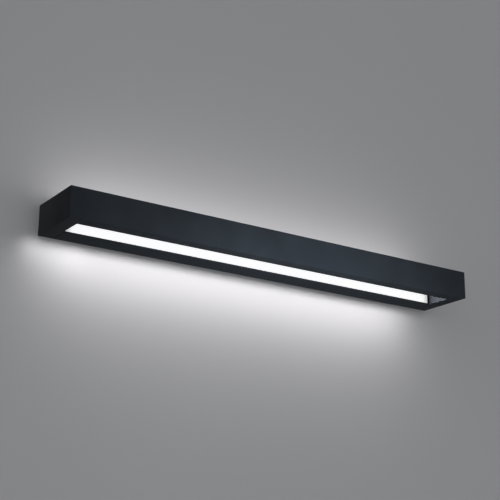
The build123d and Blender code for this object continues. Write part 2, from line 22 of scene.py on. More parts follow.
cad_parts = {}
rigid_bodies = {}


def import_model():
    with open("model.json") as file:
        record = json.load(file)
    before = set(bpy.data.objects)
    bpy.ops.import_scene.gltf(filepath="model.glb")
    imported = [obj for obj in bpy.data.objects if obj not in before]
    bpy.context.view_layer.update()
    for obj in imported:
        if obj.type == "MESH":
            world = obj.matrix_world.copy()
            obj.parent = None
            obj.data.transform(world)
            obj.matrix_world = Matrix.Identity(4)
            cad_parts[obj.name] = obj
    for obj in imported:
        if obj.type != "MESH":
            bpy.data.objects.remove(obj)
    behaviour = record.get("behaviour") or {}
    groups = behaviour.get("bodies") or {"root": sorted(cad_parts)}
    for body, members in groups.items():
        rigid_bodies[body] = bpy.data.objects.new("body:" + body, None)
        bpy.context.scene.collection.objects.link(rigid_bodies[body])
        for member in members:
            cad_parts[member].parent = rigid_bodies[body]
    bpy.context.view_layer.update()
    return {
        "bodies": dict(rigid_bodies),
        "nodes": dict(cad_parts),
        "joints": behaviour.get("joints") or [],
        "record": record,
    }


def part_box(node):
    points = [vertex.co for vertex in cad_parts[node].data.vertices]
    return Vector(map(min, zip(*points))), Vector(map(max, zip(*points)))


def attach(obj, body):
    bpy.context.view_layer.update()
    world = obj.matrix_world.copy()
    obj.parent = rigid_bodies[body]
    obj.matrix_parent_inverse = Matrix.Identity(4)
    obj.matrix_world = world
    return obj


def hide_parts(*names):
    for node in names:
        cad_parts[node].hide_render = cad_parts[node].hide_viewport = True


Pair = tuple[float, float]
Triple = tuple[float, float, float]
Socket = bpy.types.NodeSocket

MM = 0.001
PHOTO_SIDE = 500
SIDES = ("left", "right")

log = logging.getLogger("light_bar")


class Body(Enum):
    """The bodies that pieces ride on."""

    BRACKET = "bracket"
    BAR = "light_bar"
    LEFT_SCREW = "left_screw"
    RIGHT_SCREW = "right_screw"


class Slot(Enum):
    """The material slots of the record."""

    COAT = "black_coat"
    GALVANISED = "galvanised_steel"
    ZINC = "zinc_screw"
    BLACK_OXIDE = "black_screw"
    GREEN_DYE = "green_screw"
    ALUMINIUM = "mill_aluminium"
    OPAL = "opal_plastic"
    RUBBER = "black_rubber"
    BOARD = "white_board"
    PHOSPHOR = "led_phosphor"
    MOULDING = "white_plastic"
    FILM = "white_film"
    DRIVER = "driver_plastic"
    TINNED = "tinned_brass"
    BLACK_LEAD = "black_insulation"
    WHITE_LEAD = "white_insulation"
    GREEN_LEAD = "green_insulation"
    RED_LEAD = "red_insulation"


class Head(Enum):
    """The kinds of screw head."""

    PAN = "pan"
    COUNTERSUNK = "countersunk"
    HEX_WASHER = "hex washer"


class Facing(Enum):
    """The ways that screw heads face, along the bar from its middle and towards the wall."""

    FORWARD = (0.0, -1.0)
    BACK = (0.0, 1.0)
    INWARD = (-1.0, 0.0)
    OUTWARD = (1.0, 0.0)

    def direction(self, middle: np.ndarray) -> np.ndarray:
        """The way as a unit vector, for a screw with its middle in the bar's left or right half."""
        outward, wallward = self.value
        return np.array([outward * np.sign(middle[0]), wallward, 0.0])


# Finishes

EVEN: Triple = (1.0, 1.0, 1.0)
WHITE: Triple = (1.0, 1.0, 1.0)

# Where nearly all values of a noise lie, and how many patches of gloss go across a patch of tone
NOISE_ENDS: Pair = (0.3, 0.7)
GLOSS_PATCHES = 3


class ShaderTree:
    """The nodes of a material or a world while they are being joined up."""

    def __init__(self, owner: bpy.types.Material | bpy.types.World) -> None:
        """Start from the shader and the output that a new material or world has.

        Args:
            owner: the material or the world.
        """
        owner.use_nodes = True
        self.owner = owner
        self.nodes = owner.node_tree.nodes
        self.links = owner.node_tree.links
        self.output = next(node for node in self.nodes if node.type.startswith("OUTPUT"))
        self.surface = self.output.inputs["Surface"].links[0].from_node

    def put(self, value: Any, socket: Socket) -> None:
        """Link a socket to an input, or set the input to a plain value.

        Args:
            value: the socket or the plain value.
            socket: the input.
        """
        if isinstance(value, Socket):
            self.links.new(value, socket)
        else:
            socket.default_value = value

    def feed(self, node: bpy.types.Node, **inputs: Any) -> None:
        """Put values on a node's inputs, which are named with _ for a space."""
        for name, value in inputs.items():
            self.put(value, node.inputs[name.replace("_", " ")])

    def shade(self, **inputs: Any) -> None:
        """Feed the shader itself."""
        self.feed(self.surface, **inputs)

    def add(self, kind: str, settings: dict[str, Any] | None = None, **inputs: Any) -> bpy.types.Node:
        """Add a node.

        Args:
            kind: Blender's name for the node, without its ShaderNode prefix.
            settings: the node's own properties.
            inputs: what its inputs take, as for feed.

        Returns:
            The new node.
        """
        node = self.nodes.new(f"ShaderNode{kind}")
        for name, value in (settings or {}).items():
            setattr(node, name, value)
        self.feed(node, **inputs)
        return node

    def own(self) -> Socket:
        """Object coordinates."""
        return self.add("TexCoord").outputs["Object"]

    def axis(self, name: str) -> Socket:
        """One of the object coordinates, named X, Y or Z."""
        return self.add("SeparateXYZ", Vector=self.own()).outputs[name]

    def place(self, stretch: Triple = EVEN) -> Socket:
        """Object coordinates, with patterns drawn out along each axis by stretch."""
        shrink = tuple(1.0 / s for s in stretch)
        return self.add("Mapping", Vector=self.own(), Scale=shrink).outputs["Vector"]

    def noise(self, size: float, stretch: Triple = EVEN, detail: float = 2.0) -> Socket:
        """Cloudy values from 0 to 1 whose patches are about that size."""
        vector = self.place(stretch)
        return self.add("TexNoise", Vector=vector, Scale=1.0 / size, Detail=detail).outputs["Fac"]

    def cells(self, size: float) -> Socket:
        """A random value for each crystal-like cell of about that size."""
        cells = self.add("TexVoronoi", Vector=self.place(), Scale=1.0 / size)
        return self.add("SeparateColor", Color=cells.outputs["Color"]).outputs["Red"]

    def calc(self, operation: str, first: Any, second: Any = 0.0) -> Socket:
        """Work out a value with the Math node.

        Args:
            operation: Blender's name for what it does.
            first: a socket or a number.
            second: a socket or a number, where the operation takes two.

        Returns:
            The value.
        """
        node = self.add("Math", {"operation": operation})
        for socket, value in zip(node.inputs, (first, second)):
            self.put(value, socket)
        return node.outputs["Value"]

    def ramp(self, value: Socket, tones: Sequence[Triple], ends: Pair = NOISE_ENDS) -> Socket:
        """Colours from one tone to another.

        Args:
            value: what picks the colour.
            tones: the first and the last tone.
            ends: the values where they are reached.

        Returns:
            The colour.
        """
        node = self.add("ValToRGB", Fac=value)
        for stop, position, tone in zip(node.color_ramp.elements, ends, tones):
            stop.position = position
            stop.color = (*tone, 1.0)
        return node.outputs["Color"]

    def span(self, value: Socket, to: Pair, ends: Pair = NOISE_ENDS, smooth: bool = False) -> Socket:
        """Carry a value from one range to another, and hold it there.

        Args:
            value: the value.
            to: the range that it is carried to.
            ends: the range that it comes from.
            smooth: whether it starts and ends gently.

        Returns:
            The new value.
        """
        kind = "SMOOTHSTEP" if smooth else "LINEAR"
        node = self.add("MapRange", {"interpolation_type": kind}, Value=value)
        self.feed(node, From_Min=ends[0], From_Max=ends[1], To_Min=to[0], To_Max=to[1])
        return node.outputs["Result"]

    def bump(self, height: Socket, relief: float, under: Socket | None = None) -> Socket:
        """Raise a surface.

        Args:
            height: heights from 0 to 1.
            relief: what a height of 1 measures.
            under: the normals of another bump below this one.

        Returns:
            The normals of the raised surface.
        """
        node = self.add("Bump", Height=height, Distance=relief, Strength=1.0)
        if under is not None:
            self.feed(node, Normal=under)
        return node.outputs["Normal"]


@dataclass(frozen=True)
class Finish:
    """A surface whose tone and gloss drift a little, under a fine grain.

    Attributes:
        slot: the record's material slot.
        tones: the darkest and the lightest colour.
        drift: the size of a patch of one tone.
        roughness: the least and the greatest roughness.
        grain: the size of one grain.
        relief: the height of the grain.
        stretch: how far patches and grain are drawn out along X, Y and Z.
        metallic: 1 for bare metal, 0 otherwise.
        shine: the shader's specular level.
    """

    slot: Slot
    tones: tuple[Triple, Triple]
    drift: float
    roughness: Pair
    grain: float
    relief: float
    stretch: Triple = EVEN
    metallic: float = 0.0
    shine: float = 0.5

    def material(self) -> bpy.types.Material:
        """Build the material.

        Returns:
            The material, named for its slot.
        """
        tree = ShaderTree(bpy.data.materials.new(f"{self.slot.value}_finish"))
        tree.shade(Metallic=self.metallic, Specular_IOR_Level=self.shine)
        self.paint(tree)
        return tree.owner

    def paint(self, tree: ShaderTree) -> None:
        """Join up the drift of tone and gloss, and the grain.

        Args:
            tree: the material's nodes.
        """
        patches = tree.noise(self.drift, self.stretch, detail=4.0)
        tree.shade(Base_Color=tree.ramp(patches, self.tones))
        gloss = tree.noise(self.drift / GLOSS_PATCHES, self.stretch, detail=3.0)
        tree.shade(Roughness=tree.span(gloss, self.roughness))
        self.roughen(tree)

    def roughen(self, tree: ShaderTree) -> None:
        """Raise the grain."""
        tree.shade(Normal=tree.bump(tree.noise(self.grain, self.stretch), self.relief))


@dataclass(frozen=True)
class PowderCoat(Finish):
    """A matte baked coat: fine pebbles over a slow swell, with painted shade that leaves its colour darker
    in the hollows between the pebbles and paler where they stand up.

    Attributes:
        swell: the size of one wave of the coat.
        swell_relief: the height of the waves.
        contrast: where the mean of pebbles and patches reaches the two tones; the pebbles' part of it paints
            shade into their hollows.
    """

    swell: float = 3.0 * MM
    swell_relief: float = 0.012 * MM
    contrast: Pair = (0.36, 0.64)

    def paint(self, tree: ShaderTree) -> None:
        """Join up the tones, the pebbles and the swell; the tones carry painted shade in the pebbles'
        hollows.

        Args:
            tree: the material's nodes.
        """
        pebbles = tree.noise(self.grain, detail=1.0)
        patches = tree.noise(self.drift, detail=3.0)
        # painted shade: the tone mixes random patches with the pebbles' heights, so the colour darkens in
        # the hollows between pebbles; the same mix also sets the roughness
        mean = tree.calc("MULTIPLY", tree.calc("ADD", pebbles, patches), 0.5)
        tree.shade(Base_Color=tree.ramp(mean, self.tones, self.contrast))
        tree.shade(Roughness=tree.span(mean, self.roughness))
        swell = tree.bump(tree.noise(self.swell, detail=1.0), self.swell_relief)
        tree.shade(Normal=tree.bump(pebbles, self.relief, swell))


@dataclass(frozen=True)
class Galvanised(Finish):
    """Zinc-plated sheet: small crystals of nearly the same grey, under rolling marks along X.

    Attributes:
        crystal: the size of one crystal.
        crystal_share: how much of the tone the crystals give, beside the rolling marks.
        contrast: where the mix of both reaches its ends of tone and gloss.
    """

    crystal: float = 2.2 * MM
    crystal_share: float = 0.3
    contrast: Pair = (0.25, 0.75)

    def paint(self, tree: ShaderTree) -> None:
        """Join up the crystals, the rolling marks and the grain.

        Args:
            tree: the material's nodes.
        """
        marks = tree.noise(self.drift, self.stretch, detail=5.0)
        crystals = tree.calc("MULTIPLY", tree.cells(self.crystal), self.crystal_share)
        mixed = tree.calc("ADD", crystals, tree.calc("MULTIPLY", marks, 1 - self.crystal_share))
        tree.shade(Base_Color=tree.ramp(mixed, self.tones, self.contrast))
        tree.shade(Roughness=tree.span(mixed, self.roughness, self.contrast))
        self.roughen(tree)


@dataclass(frozen=True)
class OpalGlow(Finish):
    """Opal plastic lit from behind, which dims past the last chips towards each end.

    Attributes:
        light: the colour of its light.
        glow: strength of its light along the middle.
        end_glow: strength of its light at the very ends.
        fade: where the dimming starts and ends, from the middle.
        cloud: the size of a barely dimmer patch.
        clouds: the shares of the light in such patches and beside them.
    """

    light: Triple = (0.985, 0.992, 1.0)
    glow: float = 0.82
    end_glow: float = 0.46
    fade: Pair = (308 * MM, 318 * MM)
    cloud: float = 40 * MM
    clouds: Pair = (0.97, 1.0)

    def paint(self, tree: ShaderTree) -> None:
        """Join up the plain finish and the light: glow times (end glow / glow) to the power of the way out.

        Args:
            tree: the material's nodes.
        """
        super().paint(tree)
        way_out = tree.span(tree.calc("ABSOLUTE", tree.axis("X")), (0.0, 1.0), self.fade, smooth=True)
        share = tree.calc("POWER", self.end_glow / self.glow, way_out)
        clouded = tree.calc("MULTIPLY", share, tree.span(tree.noise(self.cloud), self.clouds))
        strength = tree.calc("MULTIPLY", clouded, self.glow)
        tree.shade(Emission_Color=(*self.light, 1.0), Emission_Strength=strength)


@dataclass(frozen=True)
class PrintedBoard(Finish):
    """White solder mask over copper lands, whose edges show as faint steps, as high as its relief.

    Attributes:
        land: the height of one land across the board.
        step: where a land's edge starts and ends, as shares of its height.
    """

    land: float = 2.4 * MM
    step: Pair = (0.42, 0.5)

    def roughen(self, tree: ShaderTree) -> None:
        """Raise the steps of the lands, in place of a grain.

        Args:
            tree: the material's nodes.
        """
        bands = tree.calc("PINGPONG", tree.axis("Z"), self.land)
        steps = tree.span(bands, (0.0, 1.0), (self.step[0] * self.land, self.step[1] * self.land))
        tree.shade(Normal=tree.bump(steps, self.relief))


def insulation(slot: Slot, dark: Triple, light: Triple) -> Finish:
    """The finish of a lead, whose patches are drawn out along it."""
    stretch = (12.0, 1.0, 1.0)
    return Finish(slot, (dark, light), 5 * MM, (0.34, 0.46), 0.3 * MM, 0.006 * MM, stretch)


# Each row gives slot, tones, drift, roughness, grain and relief, and then what is its own
FINISHES: tuple[Finish, ...] = (
    PowderCoat(
        Slot.COAT, ((0.0115, 0.0124, 0.0146), (0.0175, 0.0190, 0.0220)), 60 * MM, (0.6, 0.72), 0.5 * MM,
        0.015 * MM, shine=0.02,
    ),
    Galvanised(
        Slot.GALVANISED, ((0.42, 0.43, 0.45), (0.58, 0.59, 0.60)), 0.6 * MM, (0.32, 0.48), 0.35 * MM,
        0.006 * MM, stretch=(25.0, 1.0, 1.0), metallic=1.0,
    ),
    Finish(
        Slot.ZINC, ((0.50, 0.51, 0.52), (0.64, 0.65, 0.66)), 2 * MM, (0.2, 0.34), 0.2 * MM, 0.003 * MM,
        metallic=1.0,
    ),
    Finish(
        Slot.BLACK_OXIDE, ((0.014, 0.014, 0.016), (0.032, 0.031, 0.032)), 1 * MM, (0.34, 0.5), 0.2 * MM,
        0.003 * MM, metallic=1.0,
    ),
    Finish(
        Slot.GREEN_DYE, ((0.015, 0.17, 0.045), (0.03, 0.26, 0.075)), 1.5 * MM, (0.24, 0.38), 0.2 * MM,
        0.003 * MM, metallic=0.75,
    ),
    Finish(
        Slot.ALUMINIUM, ((0.58, 0.59, 0.60), (0.70, 0.71, 0.72)), 0.8 * MM, (0.28, 0.42), 0.3 * MM,
        0.006 * MM, stretch=(1.0, 1.0, 40.0), metallic=1.0,
    ),
    OpalGlow(
        Slot.OPAL, ((0.86, 0.86, 0.85), (0.90, 0.90, 0.89)), 25 * MM, (0.38, 0.46), 0.8 * MM, 0.004 * MM,
        stretch=(6.0, 1.0, 1.0),
    ),
    Finish(
        Slot.RUBBER, ((0.011, 0.011, 0.011), (0.02, 0.02, 0.02)), 4 * MM, (0.66, 0.82), 0.25 * MM,
        0.012 * MM, shine=0.35,
    ),
    PrintedBoard(
        Slot.BOARD, ((0.80, 0.80, 0.78), (0.86, 0.86, 0.85)), 8 * MM, (0.3, 0.42), 0.4 * MM, 0.03 * MM,
    ),
    Finish(
        Slot.PHOSPHOR, ((0.78, 0.58, 0.12), (0.88, 0.70, 0.20)), 0.8 * MM, (0.4, 0.55), 0.15 * MM,
        0.006 * MM,
    ),
    Finish(
        Slot.MOULDING, ((0.74, 0.74, 0.71), (0.81, 0.81, 0.79)), 9 * MM, (0.26, 0.36), 0.5 * MM, 0.005 * MM,
    ),
    Finish(
        Slot.FILM, ((0.84, 0.84, 0.84), (0.90, 0.90, 0.90)), 12 * MM, (0.5, 0.66), 0.3 * MM, 0.006 * MM,
    ),
    PowderCoat(
        Slot.DRIVER, ((0.69, 0.69, 0.68), (0.745, 0.745, 0.735)), 15 * MM, (0.5, 0.62), 0.45 * MM, 0.02 * MM,
    ),
    Finish(
        Slot.TINNED, ((0.54, 0.52, 0.48), (0.66, 0.65, 0.61)), 1.5 * MM, (0.24, 0.38), 0.25 * MM, 0.006 * MM,
        metallic=1.0,
    ),
    insulation(Slot.BLACK_LEAD, (0.013, 0.013, 0.014), (0.024, 0.024, 0.025)),
    insulation(Slot.WHITE_LEAD, (0.72, 0.72, 0.69), (0.80, 0.80, 0.78)),
    insulation(Slot.GREEN_LEAD, (0.02, 0.20, 0.05), (0.035, 0.28, 0.08)),
    insulation(Slot.RED_LEAD, (0.38, 0.02, 0.02), (0.50, 0.035, 0.03)),
)


# Surfaces

SHARP_SHADING = math.radians(35)
MERGED_DECIMALS = 6
SORTED_DECIMALS = 4


@dataclass
class Surface:
    """Points and the faces between them.

    Attributes:
        points: array of shape (n, 3).
        faces: arrays of corner numbers, each of shape (m, corners of a face).
    """

    points: np.ndarray
    faces: list[np.ndarray]

    def volume(self) -> float:
        """Add up the tetrahedra from the origin to each face.

        Returns:
            The volume, which is negative where the faces point inwards.
        """
        total = 0.0
        for block in self.faces:
            first = self.points[block[:, 0]]
            for i in range(1, block.shape[1] - 1):
                normal = np.cross(self.points[block[:, i]], self.points[block[:, i + 1]])
                total += float((first * normal).sum()) / 6
        return total

    def outward(self) -> Surface:
        """The same closed surface with its faces pointing outwards."""
        step = 1 if self.volume() > 0 else -1
        return Surface(self.points, [block[:, ::step] for block in self.faces])

    def moved(self, origin: Sequence[float], axes: np.ndarray) -> Surface:
        """The surface set at an origin, with its own X, Y and Z along the rows of axes."""
        return Surface(self.points @ axes + np.asarray(origin), self.faces)

    def repeated(self, origins: np.ndarray) -> Surface:
        """Copies of the surface at each origin of an (m, 3) array, as one surface."""
        return joined([Surface(self.points + origin, self.faces) for origin in origins])

    def mesh(self, name: str) -> bpy.types.Mesh:
        """Make a mesh that is smooth but for its sharp edges.

        Args:
            name: the mesh's name.

        Returns:
            The mesh.
        """
        mesh = bpy.data.meshes.new(name)
        faces = [corners for block in self.faces for corners in block.tolist()]
        mesh.from_pydata(self.points.tolist(), [], faces)
        smooth_mesh(mesh)
        return mesh


def smooth_mesh(mesh: bpy.types.Mesh) -> None:
    """Shade a mesh smooth, apart from its sharp edges.

    Args:
        mesh: the mesh.
    """
    mesh.polygons.foreach_set("use_smooth", np.ones(len(mesh.polygons), bool))
    mesh.set_sharp_from_angle(angle=SHARP_SHADING)
    mesh.update()


def joined(surfaces: Sequence[Surface]) -> Surface:
    """Make several surfaces one.

    Args:
        surfaces: the surfaces, each in place.

    Returns:
        The one surface.
    """
    shifts = np.cumsum([0] + [len(s.points) for s in surfaces])
    faces = [block + shift for s, shift in zip(surfaces, shifts) for block in s.faces]
    return Surface(np.concatenate([s.points for s in surfaces]), faces)


def full_turn(steps: int) -> np.ndarray:
    """Angles that go evenly once round."""
    return np.linspace(0, 2 * math.pi, steps, endpoint=False)


def grid_quads(rows: int, columns: int, wrap_rows: bool) -> np.ndarray:
    """Quads of a grid of points numbered row by row, whose columns close into rings.

    Args:
        rows: how many rings there are.
        columns: how many points a ring has.
        wrap_rows: whether the last ring joins the first.

    Returns:
        Corner numbers, of shape (quads, 4).
    """
    row, column = np.meshgrid(np.arange(rows if wrap_rows else rows - 1), np.arange(columns), indexing="ij")
    here, below = row * columns, (row + 1) % rows * columns
    beside = (column + 1) % columns
    return np.stack([here + column, here + beside, below + beside, below + column], axis=-1).reshape(-1, 4)


def skin(rings: np.ndarray) -> Surface:
    """The skin over a stack of rings, with a flat face over the first and the last one.

    Args:
        rings: array of shape (rings, points of a ring, 3).

    Returns:
        The closed surface.
    """
    rows, columns = rings.shape[:2]
    ends = np.stack([np.arange(columns)[::-1], (rows - 1) * columns + np.arange(columns)])
    return Surface(rings.reshape(-1, 3), [grid_quads(rows, columns, False), ends]).outward()


def looped_skin(rings: np.ndarray) -> Surface:
    """The skin over rings that come back to the first one, as on a pipe's outside and bore."""
    return Surface(rings.reshape(-1, 3), [grid_quads(*rings.shape[:2], True)]).outward()


def rounded(corners: np.ndarray, radius: float | np.ndarray, steps: int = 5) -> np.ndarray:
    """An outline with its corners rounded by arcs that touch both sides.

    An arc's centre lies on the corner's bisector, at radius / sin(half the corner's angle), and its points
    turn evenly from one touching point to the other.

    Args:
        corners: array of shape (n, 2), in order.
        radius: one radius for all corners, or one for each.
        steps: how many steps an arc has.

    Returns:
        Array of shape (n * (steps + 1), 2).
    """
    before = np.roll(corners, 1, axis=0) - corners
    after = np.roll(corners, -1, axis=0) - corners
    before /= np.linalg.norm(before, axis=1, keepdims=True)
    after /= np.linalg.norm(after, axis=1, keepdims=True)
    bisector = before + after
    bisector /= np.linalg.norm(bisector, axis=1, keepdims=True)
    half_angle = np.arccos(np.clip((before * after).sum(axis=1), -1, 1)) / 2
    radius = np.broadcast_to(np.asarray(radius, float), half_angle.shape)
    centre = corners + bisector * (radius / np.sin(half_angle))[:, None]
    reach = (radius / np.tan(half_angle))[:, None]
    start, end = corners + before * reach - centre, corners + after * reach - centre
    turn = (math.pi - 2 * half_angle)[:, None, None]
    way = np.linspace(0, 1, steps + 1)[None, :, None]
    arc = start[:, None, :] * np.sin((1 - way) * turn) + end[:, None, :] * np.sin(way * turn)
    return (centre[:, None, :] + arc / np.sin(turn)).reshape(-1, 2)


def rectangle(low: Sequence[float], high: Sequence[float], inset: float = 0.0) -> np.ndarray:
    """The four corners of a rectangle, drawn in by an inset."""
    (a, b), (c, d) = np.asarray(low) + inset, np.asarray(high) - inset
    return np.array([(a, b), (c, b), (c, d), (a, d)])


def moulded(
    low: np.ndarray, high: np.ndarray, levels: Sequence[Pair], radius: float, least: float, steps: int = 5
) -> Surface:
    """A moulding built up from rounded rectangles of X and Z along Y.

    Args:
        low: lowest X and Z.
        high: highest X and Z.
        levels: the Y of each rectangle and how far its sides are drawn in.
        radius: radius of the upright corners where nothing is drawn in.
        least: the least radius of those corners.
        steps: how many steps a corner has.

    Returns:
        The closed surface.
    """
    rings = []
    for y, inset in levels:
        outline = rounded(rectangle(low, high, inset), max(radius - inset, least), steps)
        rings.append(np.insert(outline, 1, y, axis=1))
    return skin(np.array(rings))


def solid_boxes(node: bpy.types.Object) -> np.ndarray:
    """Boxes of the separate solids of a CAD node, found by spreading the least label over shared corners.

    Args:
        node: the CAD node, whose mesh is loose triangles.

    Returns:
        Lowest and highest corner of each solid, of shape (solids, 2, 3), in the order of X and Z.
    """
    points = np.empty(len(node.data.vertices) * 3)
    node.data.vertices.foreach_get("co", points)
    triangles = np.empty(len(node.data.loops), int)
    node.data.loops.foreach_get("vertex_index", triangles)
    merged = np.round(points.reshape(-1, 3), MERGED_DECIMALS)
    places, number = np.unique(merged, axis=0, return_inverse=True)
    triangles = number.ravel()[triangles].reshape(-1, 3)
    label = np.arange(len(places))
    spreading = True
    while spreading:
        spread = label.copy()
        np.minimum.at(spread, triangles.ravel(), np.repeat(label[triangles].min(axis=1), 3))
        spreading = bool((spread != label).any())
        label = spread
    solids = [places[label == one] for one in np.unique(label)]
    boxes = [(solid.min(axis=0), solid.max(axis=0)) for solid in solids]
    return np.array(sorted(boxes, key=lambda box: (round(box[0][0], SORTED_DECIMALS), box[0][2])))


def frame_of(facing: np.ndarray) -> np.ndarray:
    """Rows X, Y and Z of a right-handed frame whose Z faces one way along the bar or across it."""
    x = np.array([0.0, 1.0, 0.0]) if facing[0] else np.array([1.0, 0.0, 0.0])
    return np.stack([x, np.cross(facing, x), facing])


def spline_points(route: Sequence[Triple], resolution: int = 24) -> np.ndarray:
    """Points along the smooth NURBS line that has a route as its control points.

    Args:
        route: the route's points.
        resolution: how many points the line has for each of them.

    Returns:
        Array of shape (n, 3).
    """
    curve = bpy.data.curves.new("route", "CURVE")
    curve.dimensions = "3D"
    curve.resolution_u = resolution
    spline = curve.splines.new("NURBS")
    spline.points.add(len(route) - 1)
    weighted = np.column_stack([np.asarray(route), np.ones(len(route))])
    spline.points.foreach_set("co", weighted.ravel())
    spline.order_u = 3
    spline.use_endpoint_u = True
    holder = bpy.data.objects.new("route", curve)
    mesh = bpy.data.meshes.new_from_object(holder)
    points = np.empty(len(mesh.vertices) * 3)
    mesh.vertices.foreach_get("co", points)
    bpy.data.objects.remove(holder)
    bpy.data.curves.remove(curve)
    bpy.data.meshes.remove(mesh)
    return points.reshape(-1, 3)


# Screws

Ring = float | np.ndarray
Stations = list[tuple[Ring, Ring]]


@dataclass(frozen=True)
class Screw:
    """A screw along Z, with its thread below the origin and its head above it or flush with it.

    Attributes:
        thread: radius of the thread's crest.
        length: length of the thread.
        head_radius: radius of the head.
        head_height: height of the head, which sets the depth of its recess too.
        head: the kind of head.
        pitch: rise of the thread in one turn.
        sides: how many points a ring has.
    """

    thread: float
    length: float
    head_radius: float
    head_height: float
    head: Head
    pitch: float = 0.5 * MM
    sides: int = 48

    def turns(self) -> np.ndarray:
        """The angle of each point round the axis."""
        return full_turn(self.sides)[None, :]

    def discs(self, first: float, last: float, rings: int, radius: float) -> np.ndarray:
        """Radius of rings that go evenly out over a head, between two shares of a radius."""
        return np.linspace(first, last, rings)[:, None] * radius * np.ones_like(self.turns())

    def hexagon(self, apothem: float) -> np.ndarray:
        """Radius of a hexagon at each angle: apothem / cos(angle from the middle of the side)."""
        return apothem / np.cos((self.turns() % (math.pi / 3)) - math.pi / 6)

    def cross(self, radius: np.ndarray) -> np.ndarray:
        """Depth of a cross recess, which tapers from its centre out to the ends of four arms.

        It is depth * (fullness * (1 - radius / reach)) ^ taper inside the arms, and rises over their flanks.

        Args:
            radius: the radius of each point of the head.

        Returns:
            The depth at each point.
        """
        reach, width, depth = 0.62 * self.head_radius, 0.16 * self.head_radius, 0.6 * self.head_height
        flank, fullness, taper = 0.25 * width, 1.15, 0.6
        x, y = np.abs(radius * np.cos(self.turns())), np.abs(radius * np.sin(self.turns()))
        walls = np.clip((width - np.minimum(x, y)) / flank, 0, 1)
        return depth * walls * np.clip(fullness * (1 - radius / reach), 0, 1) ** taper

    def slot(self, radius: np.ndarray) -> np.ndarray:
        """Depth of a straight slot across the head: full between its flanks, and rising over them.

        Args:
            radius: the radius of each point of the head.

        Returns:
            The depth at each point.
        """
        width, depth = 0.15 * self.head_radius, 0.35 * self.head_height
        flank = 0.3 * width
        beside = np.abs(radius * np.sin(self.turns()))
        return depth * np.clip((width - beside) / flank, 0, 1)

    def pan_head(self) -> Stations:
        """A crown with a cross: height * (1 - share of the radius ^ side power) ^ (1 / crown power).

        Returns:
            Its rings, from the middle out and down.
        """
        rings, side_power, crown_power = 22, 2.6, 2.2
        share = np.sin(np.linspace(0.04, 0.5, rings) * math.pi)[:, None]
        radius = share * self.head_radius * np.ones_like(self.turns())
        crown = self.head_height * (1 - share**side_power) ** (1 / crown_power)
        return [(radius, crown - self.cross(radius))]

    def flush_head(self) -> Stations:
        """The rings of a flat face with a cross, out to the start of its cone."""
        radius = self.discs(first=0.05, last=0.97, rings=18, radius=self.head_radius)
        return [(radius, -self.cross(radius))]

    def hex_head(self) -> Stations:
        """A slotted hexagon with a bevelled top, on a round flange.

        Returns:
            Its rings, from the middle out and down.
        """
        apothem = 0.78 * self.head_radius
        bevel, foot, flange = (level * self.head_height for level in (0.86, 0.36, 0.3))
        flank = self.hexagon(apothem)
        top = self.discs(first=0.06, last=0.96, rings=14, radius=apothem)
        face = (top, self.head_height - self.slot(top))
        return [face, (flank, bevel), (flank, foot), (self.head_radius, flange), (self.head_radius, 0.0)]

    def shank(self, top: float) -> Stations:
        """The thread: its crest less a ridge that climbs once in each turn and fades out at both ends.

        Args:
            top: the height where it starts.

        Returns:
            Its rings, from the top down.
        """
        rows_in_turn, least_rows, ridge_share = 8, 4, 0.55
        rows = max(least_rows, int(rows_in_turn * self.length / self.pitch))
        height = -np.linspace(0, self.length, rows)[:, None] * np.ones_like(self.turns())
        phase = (height / self.pitch + self.turns() / (2 * math.pi)) % 1
        ridge = ridge_share * self.pitch * np.abs(2 * phase - 1)
        fade = np.clip(np.minimum(-height, self.length + height) / self.pitch, 0, 1)
        return [(self.thread - ridge * fade, height + top)]

    def stations(self) -> Stations:
        """All rings of the screw.

        Returns:
            Its rings, from the middle of the head to the tip.
        """
        heads = {Head.PAN: self.pan_head, Head.COUNTERSUNK: self.flush_head, Head.HEX_WASHER: self.hex_head}
        cone = self.head_radius - self.thread if self.head is Head.COUNTERSUNK else 0.0
        return heads[self.head]() + self.shank(-cone)

    def surface(self) -> Surface:
        """The skin over its rings, with points at radius * cos t, radius * sin t and a height.

        Returns:
            The closed surface.
        """
        turns = self.turns()
        every = np.ones_like(turns)
        radius, height = (np.concatenate([ring * every for ring in part]) for part in zip(*self.stations()))
        return skin(np.stack([radius * np.cos(turns), radius * np.sin(turns), height], axis=-1))


@dataclass(frozen=True)
class SetScrew(Screw):
    """A headless screw with its top at the origin: a hexagon socket, a bevel, a thread and a cup point.

    Attributes:
        socket: width of the socket across its flats, and its depth.
        mouth: depth of the bevel round the socket's mouth.
        bevel: width of the bevel round the top.
        point: length of the plain point below the thread.
        point_step: how much slimmer the point's end is than the thread.
        cup: depth of the cup in the point.
    """

    socket: float = 2.0 * MM
    mouth: float = 0.12 * MM
    bevel: float = 0.35 * MM
    point: float = 0.5 * MM
    point_step: float = 0.6 * MM
    cup: float = 0.4 * MM

    def stations(self) -> Stations:
        """All rings of the screw.

        Returns:
            Its rings, from the bottom of the socket to the bottom of the cup.
        """
        drill, drilled, mouth_share, cup_share = 0.1, 1.15, 1.06, 0.35
        hexagon = self.hexagon(self.socket / 2)
        tip = -self.length - self.point
        return [
            (drill * self.socket, -drilled * self.socket),
            (hexagon, -self.socket),
            (hexagon, -self.mouth),
            (mouth_share * hexagon, 0.0),
            (self.thread - self.bevel, 0.0),
            *self.shank(-self.bevel),
            (self.thread - self.point_step, tip),
            (cup_share * self.thread, tip + self.cup),
        ]


# The workshop


